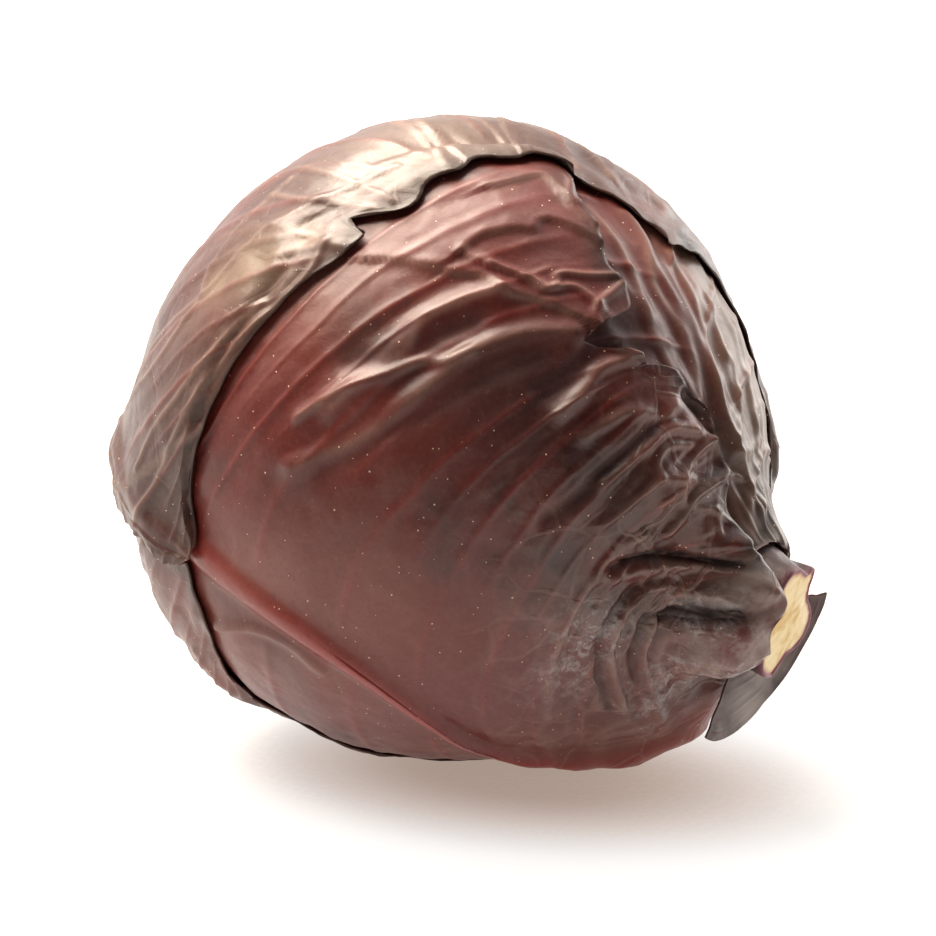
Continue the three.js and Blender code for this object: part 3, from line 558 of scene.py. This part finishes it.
def make_leaf(name, node, leaf, marks, rows, columns, netting, lift):
    """One leaf: the frame's inner face, smoothed between its corners and kept above the leaves below, with
    the relief on top. Near the margin the blade thins from within, and the margin lifts a little, so that it
    casts a thin shadow. A collar climbs the stem between the longitudes 25 and 172."""
    step = 4
    s, t = np.meshgrid(np.linspace(0, 1, rows), np.linspace(-1, 1, columns), indexing="ij")
    edge_line = np.stack([s * 90, np.where(t < 0, 7.0, 31.0), 0 * s], -1)
    nibbles = 0.012 * rough_noise(edge_line, 4.5, 3) + 0.006 * rough_noise(edge_line, 1.3, 8)
    d = leaf_direction(leaf, s, t, nibbles)
    polar, longitude = angles_of(d)
    stations, across = frame_grid(leaf)
    inner = through(stations, frame_inner(leaf, node), s[:, 0])
    inner = through(across, inner.T, t[0]).T
    near_margin = smooth((np.abs(t) - 0.78) / 0.22) * smooth(6 * s)
    support = made_so_far.at(d)
    inner = inner - 0.25 - (leaf["lift"] + leaf.get("hug", 0)) * near_margin * (support > 0)
    inner = softened(np.maximum(softened(np.maximum(inner, support + 0.15), 6), support + 0.1), 2)
    inner = inner + leaf.get("collar", 0) * smooth((17.5 - polar) / 7) * smooth(
        (longitude % 360 - 25) / 25) * smooth((172 - longitude % 360) / 40)
    height, guides = leaf_relief(leaf, s, t, d, marks, netting)
    toward_margin = smooth((np.abs(t) - 0.9) / 0.1) * smooth(8 * s)
    rise = lift * near_margin * (0.5 + 0.8 * rough_noise(d * SKIN_RADIUS, 12, 51)) + 0.8 * guides["dried"]
    outer = inner + height + rise
    thick = height + (THIN_MARGIN - height) * np.maximum(toward_margin, smooth((s - 0.94) / 0.06))
    outer = pressed(d, outer, leaf["lowest"])
    made_so_far.add(d, outer)
    under = pressed(d, outer - thick, leaf["lowest"] + 0.45)
    points = np.concatenate([
        (d * outer[..., None]).reshape(-1, 3), (d * under[..., None])[::step, ::step].reshape(-1, 3)])
    guides["edge"] = smooth((np.abs(t) - 0.93) / 0.07)
    guides = {k: np.concatenate([v.ravel(), v[::step, ::step].ravel()]) for k, v in guides.items()}
    made = solid(name, points, shell_faces(rows, columns, step), guides)
    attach(made, "root")
    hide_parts(node)
    return made


shoulder = make_leaf("shoulder_leaf_fine", "shoulder_leaf", SHOULDER_LEAF, SHOULDER_MARKS, 281, 241, 0.0, 0)
front = make_leaf("front_leaf_fine", "front_leaf", FRONT_LEAF, FRONT_MARKS, 329, 257, 0.35, 0.6)
under = make_leaf("under_leaf_fine", "under_leaf", UNDER_LEAF, UNDER_MARKS, 241, 201, 0.5, 0.4)
crown = make_leaf("crown_leaf_fine", "crown_leaf", CROWN_LEAF, CROWN_MARKS, 337, 257, 0.15, 0.35)
stub = make_leaf("cut_leaf_base_fine", "cut_leaf_base", CUT_LEAF_BASE, [], 81, 161, 0.0, 0)

# Outline of the stem's cut face: distance from the axis at each longitude, with two hooks of skin and a notch
CUT_OUTLINE = [
    [-180, 14.0], [-168, 12.2], [-155, 11.4], [-135, 14.4], [-120, 15.6], [-105, 14.4], [-85, 10.4],
    [-63, 8.6], [-45, 9.8], [-30, 12.6], [-18, 11.2], [-4, 12.0], [12, 14.0], [28, 15.3], [44, 13.6],
    [54, 9.6], [64, 7.6], [78, 8.8], [93, 10.2], [110, 10.6], [129, 11.0], [150, 12.2], [168, 13.2],
    [180, 14.0],
]


def make_stem():
    """The stem: a side that goes from the frame's oval to the cut's outline, a rounded rim of skin, and a cut
    face set a little within it, with fine saw marks. One point closes either end."""
    spokes = 241
    longitude = np.linspace(-180, 180, spokes)[:-1]
    table = np.array(CUT_OUTLINE)
    wide = through(table[:, 0], table[:, 1:2], longitude)[:, 0]
    ragged = 0.25 * rough_noise(np.stack([longitude / 6, 0 * longitude, 0 * longitude + 4], -1), 2.0, 5)
    profile = np.array(
        [[0.0, 0.6], [0.0, 1.0]] + [[f, 1.0] for f in np.linspace(0.12, 0.94, 9)]
        + [[0.985, 0.995], [1.0, 0.975], [1.0, 0.955], [0.985, 0.935], [0.975, 0.915]]
        + [[0.975 + 0.02 * (1 - g * g), g] for g in np.linspace(0.88, 0.04, 22)])
    rise, share = profile[:, 0][:, None], profile[:, 1][:, None]
    at_cut = smooth((rise - 0.35) / 0.6)
    base = stem_outline(longitude)[None]
    out = (base + (wide[None] + ragged[None] - base) * at_cut) * share
    turn = np.radians(longitude)
    end = STEM_CUT - 0.04 * out * np.cos(turn)[None]
    x = STEM_BASE + (end - STEM_BASE) * rise
    across = np.cos(turn)[:, None] * TOP + np.sin(turn)[:, None] * FRONT
    points = x[..., None] * AXIS + out[..., None] * across[None]
    face = smooth((0.93 - share) / 0.02) * (rise > 0.9) + 0 * out
    grain = 0.12 * rough_noise(points, 2.4, 61) + 0.06 * np.sin(points @ (TOP * 2.1 + FRONT * 0.7))
    points = points + (face * grain)[..., None] * AXIS
    side_bumps = 0.3 * rough_noise(points, 5, 71) * (1 - face)
    points = points + (side_bumps * smooth(rise * 4))[..., None] * across[None]
    rings, around = out.shape
    ends = np.array([points[0].mean(0), points[-1].mean(0)])
    index = np.arange(rings * around).reshape(rings, around)
    turned = np.roll(index, -1, 1)
    faces = np.stack([index[:-1], turned[:-1], turned[1:], index[1:]], -1).reshape(-1, 4).tolist()
    faces += [[rings * around, b, a] for a, b in zip(index[0].tolist(), turned[0].tolist())]
    faces += [[rings * around + 1, a, b] for a, b in zip(index[-1].tolist(), turned[-1].tolist())]
    skin = np.append((1 - face).ravel(), [1, 0])
    rim = np.append((bell((share - 0.95) / 0.045) * (rise > 0.9) + 0 * out).ravel(), [0, 0])
    core = np.append((share + 0 * out).ravel(), [0, 0])
    guides = {"skin": skin, "rim": rim, "core": core}
    made = solid("stem_fine", np.vstack([points.reshape(-1, 3), ends]), faces, guides)
    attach(made, "root")
    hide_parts("stem")
    return made


stem = make_stem()


# Materials. Colours are linear red, green, blue.
class Paint:
    """A node material built step by step: each method adds nodes and gives back a socket."""

    def __init__(self, name):
        self.material = bpy.data.materials.new(name)
        self.material.use_nodes = True
        self.tree = self.material.node_tree
        self.shader = self.tree.nodes["Principled BSDF"]
        self.place = self.node("ShaderNodeTexCoord").outputs["Object"]

    def node(self, kind, **settings):
        made = self.tree.nodes.new(kind)
        for key, value in settings.items():
            setattr(made, key, value)
        return made

    def put(self, value, socket):
        if isinstance(value, bpy.types.NodeSocket):
            self.tree.links.new(value, socket)
        elif isinstance(value, tuple) and len(value) == 3 and socket.type == "RGBA":
            socket.default_value = (*value, 1)
        else:
            socket.default_value = value

    def guide(self, name):
        return self.node("ShaderNodeAttribute", attribute_name=name).outputs["Fac"]

    def math(self, how, a, b=0.0, c=0.0, limit=False):
        made = self.node("ShaderNodeMath", operation=how, use_clamp=limit)
        for value, socket in zip((a, b, c), made.inputs):
            self.put(value, socket)
        return made.outputs[0]

    def times(self, a, b):
        return self.math("MULTIPLY", a, b)

    def ramp(self, value, low, high, start=0.0, end=1.0):
        made = self.node("ShaderNodeMapRange", interpolation_type="SMOOTHSTEP")
        for key, number in (("Value", value), ("From Min", low), ("From Max", high), ("To Min", start),
                            ("To Max", end)):
            self.put(number, made.inputs[key])
        return made.outputs[0]

    def mix(self, share, a, b, how="MIX"):
        made = self.node("ShaderNodeMix", data_type="RGBA", blend_type=how)
        self.put(share, made.inputs[0])
        self.put(a, made.inputs[6])
        self.put(b, made.inputs[7])
        return made.outputs[2]

    def noise(self, scale, detail=4.0, rough=0.6, bent=0.0, stretch=None):
        made = self.node("ShaderNodeTexNoise")
        place = self.place
        if stretch:
            mapping = self.node("ShaderNodeMapping")
            self.put(place, mapping.inputs["Vector"])
            mapping.inputs["Scale"].default_value = stretch
            place = mapping.outputs[0]
        for key, value in (("Vector", place), ("Scale", scale), ("Detail", detail), ("Roughness", rough),
                           ("Distortion", bent)):
            self.put(value, made.inputs[key])
        return made.outputs["Fac"]

    def cells(self, scale, feature="F1"):
        made = self.node("ShaderNodeTexVoronoi", feature=feature)
        self.put(self.place, made.inputs["Vector"])
        self.put(scale, made.inputs["Scale"])
        return made

    def bent_place(self, scale, amount):
        noise = self.node("ShaderNodeTexNoise")
        for key, value in (("Vector", self.place), ("Scale", scale), ("Detail", 2.0)):
            self.put(value, noise.inputs[key])
        bent = self.node("ShaderNodeVectorMath", operation="MULTIPLY_ADD")
        self.put(noise.outputs["Color"], bent.inputs[0])
        bent.inputs[1].default_value = (amount, amount, amount)
        self.put(self.place, bent.inputs[2])
        return bent.outputs[0]

    def borders(self, place, scale):
        made = self.node("ShaderNodeTexVoronoi", feature="DISTANCE_TO_EDGE")
        self.put(place, made.inputs["Vector"])
        self.put(scale, made.inputs["Scale"])
        return made.outputs[0]

    def bump(self, height, depth, strength=1.0, under=None):
        made = self.node("ShaderNodeBump")
        self.put(height, made.inputs["Height"])
        made.inputs["Distance"].default_value = depth
        made.inputs["Strength"].default_value = strength
        if under:
            self.put(under, made.inputs["Normal"])
        return made.outputs[0]


DARK = (0.030, 0.006, 0.005)
MAROON = (0.108, 0.013, 0.009)
DUSTY_PINK = (0.200, 0.068, 0.052)
RIB_RED = (0.270, 0.022, 0.016)
BLOOM = (0.130, 0.080, 0.060)
# beige: brown patches on the crown leaf, and a painted sheen on the shoulder leaf
BEIGE_AND_SHEEN = (0.250, 0.185, 0.120)
PALE_LINE = (0.330, 0.210, 0.165)
DRIED = (0.030, 0.016, 0.011)
# near black: painted shade in grooves and cuts
HOLLOW_SHADE = (0.006, 0.002, 0.002)
# near black: painted shade for leaf parts turned away from the light
PAINTED_SHADE = (0.020, 0.004, 0.003)
GREY_SKIN = (0.26, 0.22, 0.20)
# pale frost colour: painted glints of a wet skin
PAINTED_GLINT = (0.34, 0.29, 0.29)
LIGHT_GRAIN = (0.22, 0.10, 0.07)
DARK_GRAIN = (0.016, 0.004, 0.004)
# bright specks: dust, and painted glints
DUST_AND_GLINT_SPECK = (0.60, 0.42, 0.30)


def leaf_paint(name, red, pink, bloom, gloss, cells, lines, wet_glints=False):
    """Waxy leaf skin: dark purple and maroon in soft clouds, dusty pink where the wax is thin and as a painted
    sheen, beige patches and a painted beige sheen, grey bloom near the stem and in patches, painted shade in
    dark spots, red ribs, pale thin veins in a net of cells, painted glints as a pale frost in the glossy wet
    spots, painted shade near black in the grooves and cuts, dried edges, tiny bright specks of dust and
    painted glints, and a fine grain. The numbers are the shares of red, pink and bloom, the least roughness,
    and how strongly the cells show near the stem and all over. Leaves without cells or wet spots go without
    those nodes."""
    paint = Paint(name)
    times, ramp, guide = paint.times, paint.ramp, paint.guide
    clouds = paint.noise(22, 5, 0.6, 0.4)
    patches = paint.noise(55, 4, 0.6, 0.2)
    grain = paint.noise(900, 3, 0.7)
    near_stem = guide("near_stem")
    colour = paint.mix(ramp(clouds, 0.62 - 0.3 * red, 0.80 - 0.3 * red), DARK, MAROON)
    thin_wax = ramp(paint.noise(16, 4, 0.55, 0.3), 0.35, 0.75, 0.0, pink)
    # dusty pink: thin wax, and where the rosy spots lie, partly a painted sheen
    rosy_and_sheen = paint.math("ADD", thin_wax, times(guide("rosy_and_sheen"), ramp(patches, 0.2, 0.7, 0.65, 1.0)), limit=True)
    colour = paint.mix(rosy_and_sheen, colour, DUSTY_PINK)
    bloomed = paint.math("ADD", times(near_stem, 0.30), bloom, limit=True)
    waxy = paint.math("MULTIPLY", ramp(paint.noise(40, 6, 0.7), 0.25, 0.75), bloomed, limit=True)
    colour = paint.mix(waxy, colour, BLOOM)
    # beige spots: brown patches on the crown, painted sheen on the shoulder
    colour = paint.mix(times(guide("beige_and_sheen"), 0.8), colour, BEIGE_AND_SHEEN)
    # painted shade: the shade spots darken the leaf where it lies away from the light
    colour = paint.mix(times(guide("painted_shade"), 0.9), colour, PAINTED_SHADE)
    colour = paint.mix(times(guide("skin"), ramp(patches, 0.42, 0.58, 0.0, 0.55)), colour, GREY_SKIN)
    colour = paint.mix(times(guide("rib"), 0.75), colour, RIB_RED)
    colour = paint.mix(times(guide("vein"), ramp(patches, 0.3, 0.8, 0.05, 0.35)), colour, RIB_RED)
    colour = paint.mix(times(guide("line"), ramp(patches, 0.3, 0.7, 0.10, 0.45)), colour, PALE_LINE)
    normal = paint.bump(paint.noise(160, 6, 0.7, 0.6), 0.0003, 0.4)
    if cells or lines:
        bent = paint.bent_place(45, 0.016)
        wide, small = paint.borders(bent, 72), paint.borders(bent, 190)
        drawn = paint.math("ADD", times(near_stem, cells), lines, limit=True)
        threads = paint.math("MAXIMUM", ramp(wide, 0.045, 0.012), ramp(small, 0.05, 0.0, 0.0, 0.15))
        threads = times(threads, times(drawn, ramp(patches, 0.35, 0.65, 0.25, 1.0)))
        colour = paint.mix(times(threads, 0.3), colour, PALE_LINE)
        normal = paint.bump(times(ramp(wide, 0.0, 0.28), drawn), 0.0009, 0.6, normal)
        normal = paint.bump(threads, 0.0004, 0.6, normal)
    if wet_glints:
        # painted glints: a pale frost crackle in the wet spots stands for their glints
        painted_glint = times(guide("wet_glints"), ramp(paint.noise(330, 6, 0.75, 0.5), 0.48, 0.62, 0.0, 0.75))
        colour = paint.mix(painted_glint, colour, PAINTED_GLINT)
    # painted shade: near black in the grooves and cuts
    colour = paint.mix(guide("hollow_shade"), colour, HOLLOW_SHADE)
    colour = paint.mix(times(guide("edge"), ramp(patches, 0.35, 0.6, 0.2, 0.8)), colour, DRIED)
    colour = paint.mix(ramp(guide("dried"), 0.35, 0.7), colour, DRIED)
    colour = paint.mix(ramp(grain, 0.48, 0.75, 0.0, 0.12), colour, LIGHT_GRAIN)
    colour = paint.mix(ramp(grain, 0.5, 0.25, 0.0, 0.25), colour, DARK_GRAIN)
    # tiny bright specks: part dust, part painted glints
    dots = paint.cells(1050)
    split = paint.node("ShaderNodeSeparateColor")
    paint.put(dots.outputs["Color"], split.inputs[0])
    chosen = paint.math("GREATER_THAN", split.outputs[0], 0.88)
    size = times(split.outputs[1], 0.20)
    dust_and_glint_speck = times(paint.math("LESS_THAN", dots.outputs["Distance"], size), chosen)
    colour = paint.mix(dust_and_glint_speck, colour, DUST_AND_GLINT_SPECK)
    paint.put(colour, paint.shader.inputs["Base Color"])
    rough = ramp(paint.noise(70, 5, 0.7), 0.3, 0.75, gloss, gloss + 0.16)
    rough = paint.math("SUBTRACT", rough, times(near_stem, 0.12))
    coat = 0.12
    if wet_glints:
        shine = times(guide("wet_glints"), ramp(paint.noise(120, 3, 0.5), 0.42, 0.58))
        rough = times(rough, ramp(shine, 0.0, 1.0, 1.0, 0.45))
        coat = ramp(shine, 0.0, 1.0, 0.12, 0.75)
        normal = paint.bump(times(shine, paint.noise(300, 2, 0.5)), 0.0012, 0.8, normal)
    open_skin = paint.math("SUBTRACT", 1.0, guide("hollow_shade"), limit=True)
    paint.put(times(coat, open_skin), paint.shader.inputs["Coat Weight"])
    rough = paint.math("ADD", rough, times(guide("hollow_shade"), 0.7), limit=True)
    paint.put(rough, paint.shader.inputs["Roughness"])
    paint.shader.inputs["Specular IOR Level"].default_value = 0.40
    paint.shader.inputs["Coat Roughness"].default_value = 0.20
    paint.put(paint.bump(grain, 0.00010, 0.5, normal), paint.shader.inputs["Normal"])
    return paint.material


def stub_paint():
    """Cut leaf base: dark brown-purple skin with pale grey patches, a lighter rim and length-wise fibres."""
    paint = Paint("cut_leaf_base_skin")
    patches = paint.noise(70, 5, 0.65, 0.5)
    colour = paint.mix(paint.ramp(patches, 0.38, 0.62), (0.075, 0.034, 0.030), (0.040, 0.014, 0.013))
    pale = paint.times(paint.guide("rosy_and_sheen"), paint.ramp(patches, 0.35, 0.55, 0.5, 1.0))
    colour = paint.mix(pale, colour, (0.34, 0.29, 0.27))
    colour = paint.mix(paint.ramp(paint.noise(45, 3), 0.56, 0.70), colour, (0.030, 0.012, 0.012))
    colour = paint.mix(paint.times(paint.guide("edge"), 0.7), colour, (0.10, 0.05, 0.045))
    fibres = paint.noise(260, 4, 0.6, 0.0, (0.25, 1.0, 1.0))
    colour = paint.mix(paint.ramp(fibres, 0.4, 0.7, 0.0, 0.10), colour, (0.30, 0.22, 0.20))
    paint.put(colour, paint.shader.inputs["Base Color"])
    paint.put(paint.ramp(patches, 0.3, 0.7, 0.35, 0.6), paint.shader.inputs["Roughness"])
    paint.shader.inputs["Specular IOR Level"].default_value = 0.35
    paint.put(paint.bump(fibres, 0.0002, 0.3, paint.bump(patches, 0.001, 0.4)), paint.shader.inputs["Normal"])
    return paint.material


def stem_paint():
    """Stem: grey-lilac skin on the side, a magenta line where the skin was cut, and a cream-yellow moist face
    with darker yellow spots, a soft ring of bundles and fine fibres."""
    paint = Paint("stem_flesh")
    fibres = paint.noise(500, 4, 0.65, 0.0, (1.0, 1.0, 0.4))
    spots = paint.noise(150, 3, 0.55, 0.3)
    flesh = paint.mix(paint.ramp(spots, 0.5, 0.66), (0.74, 0.56, 0.26), (0.60, 0.36, 0.09))
    flesh = paint.mix(paint.ramp(paint.noise(60, 4), 0.55, 0.7), flesh, (0.80, 0.68, 0.42))
    ring = paint.ramp(paint.guide("core"), 0.45, 0.8, 0.0, 0.45)
    bundles = paint.times(paint.ramp(paint.cells(420).outputs["Distance"], 0.35, 0.1), ring)
    flesh = paint.mix(bundles, flesh, (0.60, 0.40, 0.14))
    flesh = paint.mix(paint.ramp(fibres, 0.35, 0.65, 0.0, 0.3), flesh, (0.80, 0.66, 0.38))
    flesh = paint.mix(paint.ramp(paint.guide("core"), 0.8, 0.93, 0.0, 0.6), flesh, (0.45, 0.20, 0.12))
    skin = paint.mix(paint.ramp(paint.noise(60, 5), 0.4, 0.62), (0.17, 0.12, 0.115), (0.050, 0.022, 0.022))
    colour = paint.mix(paint.guide("skin"), flesh, skin)
    colour = paint.mix(paint.times(paint.guide("rim"), 0.85), colour, (0.22, 0.03, 0.07))
    paint.put(colour, paint.shader.inputs["Base Color"])
    paint.put(paint.ramp(spots, 0.35, 0.7, 0.38, 0.6), paint.shader.inputs["Roughness"])
    paint.shader.inputs["Subsurface Weight"].default_value = 0.12
    paint.shader.inputs["Subsurface Radius"].default_value = (0.004, 0.002, 0.001)
    paint.shader.inputs["Subsurface Scale"].default_value = 1.0
    paint.put(paint.bump(fibres, 0.0003, 0.5, paint.bump(spots, 0.0006, 0.4)), paint.shader.inputs["Normal"])
    return paint.material


def inner_paint():
    """Inner head, seen only through the gaps: dark purple, waxy, with soft vein-like cells."""
    paint = Paint("inner_head_skin")
    cells = paint.cells(60, "DISTANCE_TO_EDGE").outputs[0]
    colour = paint.mix(paint.ramp(paint.noise(40, 5), 0.4, 0.65), (0.05, 0.012, 0.018), (0.11, 0.02, 0.03))
    colour = paint.mix(paint.ramp(cells, 0.06, 0.0, 0.0, 0.5), colour, (0.26, 0.10, 0.12))
    paint.put(colour, paint.shader.inputs["Base Color"])
    paint.put(paint.ramp(paint.noise(90, 3), 0.3, 0.7, 0.4, 0.6), paint.shader.inputs["Roughness"])
    paint.put(paint.bump(paint.ramp(cells, 0.0, 0.2), 0.0006, 0.6), paint.shader.inputs["Normal"])
    return paint.material


crown.data.materials.append(leaf_paint("crown_leaf_skin", 0.35, 0.30, 0.60, 0.32, 0.1, 0.20))
front.data.materials.append(leaf_paint("front_leaf_skin", 0.95, 0.05, 0.0, 0.38, 0.7, 0.02, wet_glints=True))
under.data.materials.append(leaf_paint("under_leaf_skin", 0.60, 0.35, 0.10, 0.32, 0.3, 0.15))
shoulder.data.materials.append(leaf_paint("shoulder_leaf_skin", 0.75, 0.05, 0.05, 0.42, 0.0, 0.0))
stub.data.materials.append(stub_paint())
stem.data.materials.append(stem_paint())
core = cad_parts["inner_head"]
core.data.materials.clear()
core.data.materials.append(inner_paint())


# The setting: pale floor, soft studio light from behind and above on the left, bright surroundings
def make_floor():
    """A plain pale floor that glows: less in an oval round the head, as if it lay in its soft shadow, and less
    ahead of it, so that its light doesn't wash out the leaves."""
    mesh = bpy.data.meshes.new("floor")
    mesh.from_pydata([(-6, -6, 0), (6, -6, 0), (6, 6, 0), (-6, 6, 0)], [], [(0, 1, 2, 3)])
    made = bpy.data.objects.new("floor", mesh)
    bpy.context.scene.collection.objects.link(made)
    paint = Paint("pale_floor")
    weave = paint.noise(700, 2, 0.5)
    colour = paint.mix(paint.ramp(weave, 0.3, 0.7), (0.24, 0.225, 0.205), (0.28, 0.265, 0.245))
    paint.put(colour, paint.shader.inputs["Base Color"])
    paint.shader.inputs["Roughness"].default_value = 0.8
    around = paint.node("ShaderNodeMapping", vector_type="TEXTURE")
    paint.put(paint.place, around.inputs["Vector"])
    around.inputs["Location"].default_value = (0.018, -0.010, 0)
    around.inputs["Rotation"].default_value = (0, 0, np.radians(18.5))
    around.inputs["Scale"].default_value = (1.9, 1, 1)
    lengths = []
    for place in (around.outputs[0], paint.place):
        length = paint.node("ShaderNodeVectorMath", operation="LENGTH")
        paint.put(place, length.inputs[0])
        lengths.append(length.outputs["Value"])
    away = paint.ramp(lengths[0], 0.010, 0.046)
    glow = paint.math("MULTIPLY_ADD", away, 0.46, 0.38)
    glow = paint.math("ADD", glow, paint.ramp(lengths[1], 0.08, 0.5, 0.0, 0.2))
    # painted shadow: near the head the floor's glow turns warm, as in its soft shadow
    paint.put(paint.mix(away, (1.0, 0.78, 0.66), (1.0, 1.0, 1.0)), paint.shader.inputs["Emission Color"])
    ahead = paint.node("ShaderNodeVectorMath", operation="DOT_PRODUCT")
    paint.put(paint.place, ahead.inputs[0])
    ahead.inputs[1].default_value = (0.53, -0.848, 0)
    glow = paint.times(glow, paint.ramp(ahead.outputs["Value"], 0.12, 0.5, 1.0, 0.3))
    paint.put(glow, paint.shader.inputs["Emission Strength"])
    mesh.materials.append(paint.material)


def make_light(name, place, aim, size, power, colour):
    """A rectangular soft light at a place, facing a point."""
    lamp = bpy.data.lights.new(name, "AREA")
    lamp.shape = "RECTANGLE"
    lamp.size, lamp.size_y, lamp.energy, lamp.color = *size, power, colour
    made = bpy.data.objects.new(name, lamp)
    made.location = place
    made.rotation_euler = (Vector(aim) - Vector(place)).to_track_quat("-Z", "Y").to_euler()
    bpy.context.scene.collection.objects.link(made)


make_floor()
make_light("key_light", (-0.39, 0.03, 0.85), (0, 0, 0.07), (0.95, 0.55), 31.0, (1.0, 0.88, 0.74))
make_light("back_light", (0.38, 1.25, 0.36), (0, 0, 0.08), (1.0, 0.7), 7.5, (1.0, 0.95, 0.90))
make_light("fill_light", (0.55, -0.75, 0.55), (0, 0, 0.06), (0.35, 0.35), 0.35, (1.0, 0.92, 0.86))


def make_surroundings():
    """White surroundings that are bright behind the head and above it, and dim in front of it."""
    world = bpy.data.worlds.new("studio")
    world.use_nodes = True
    tree = world.node_tree
    toward_window = tree.nodes.new("ShaderNodeVectorMath")
    toward_window.operation = "DOT_PRODUCT"
    tree.links.new(tree.nodes.new("ShaderNodeTexCoord").outputs["Generated"], toward_window.inputs[0])
    toward_window.inputs[1].default_value = Vector((-0.60, 0.75, 0.28)).normalized()
    strength = tree.nodes.new("ShaderNodeMapRange")
    strength.interpolation_type = "SMOOTHSTEP"
    for key, number in (("From Min", -0.35), ("From Max", 0.75), ("To Min", 0.02), ("To Max", 1.10)):
        strength.inputs[key].default_value = number
    tree.links.new(toward_window.outputs["Value"], strength.inputs["Value"])
    tree.links.new(strength.outputs[0], tree.nodes["Background"].inputs["Strength"])
    tree.nodes["Background"].inputs["Color"].default_value = (1.0, 0.97, 0.94, 1)
    bpy.context.scene.world = world


make_surroundings()
bpy.context.scene.view_settings.view_transform = "Standard"

# The camera: 100 mm lens, 32 degrees round from the front towards the stem and 17 degrees above the ground
CAMERA_RIGHT = Vector((0.848, 0.530, 0.0))
CAMERA_BACK = Vector((0.5068, -0.8110, 0.2924))
CAMERA_DISTANCE = 0.5869
FOCAL_PIXELS = 2600
HALF_FRAME = 468
HEAD_AT = (447, 443)
camera = bpy.data.cameras.new("camera")
camera.lens, camera.sensor_width = 100, 36
camera.clip_start, camera.clip_end = 0.05, 20
viewer = bpy.data.objects.new("camera", camera)
bpy.context.scene.collection.objects.link(viewer)
back = CAMERA_BACK.normalized()
right = CAMERA_RIGHT.normalized()
up = back.cross(right).normalized()
right = up.cross(back).normalized()
centre = Vector(HEAD_CENTRE / 1000)
aside, above = (HEAD_AT[0] - HALF_FRAME) / FOCAL_PIXELS, (HEAD_AT[1] - HALF_FRAME) / FOCAL_PIXELS
place = centre + CAMERA_DISTANCE * (back - right * aside + up * above)
viewer.matrix_world = Matrix.Translation(place) @ Matrix((right, up, back)).transposed().to_4x4()
bpy.context.scene.camera = viewer
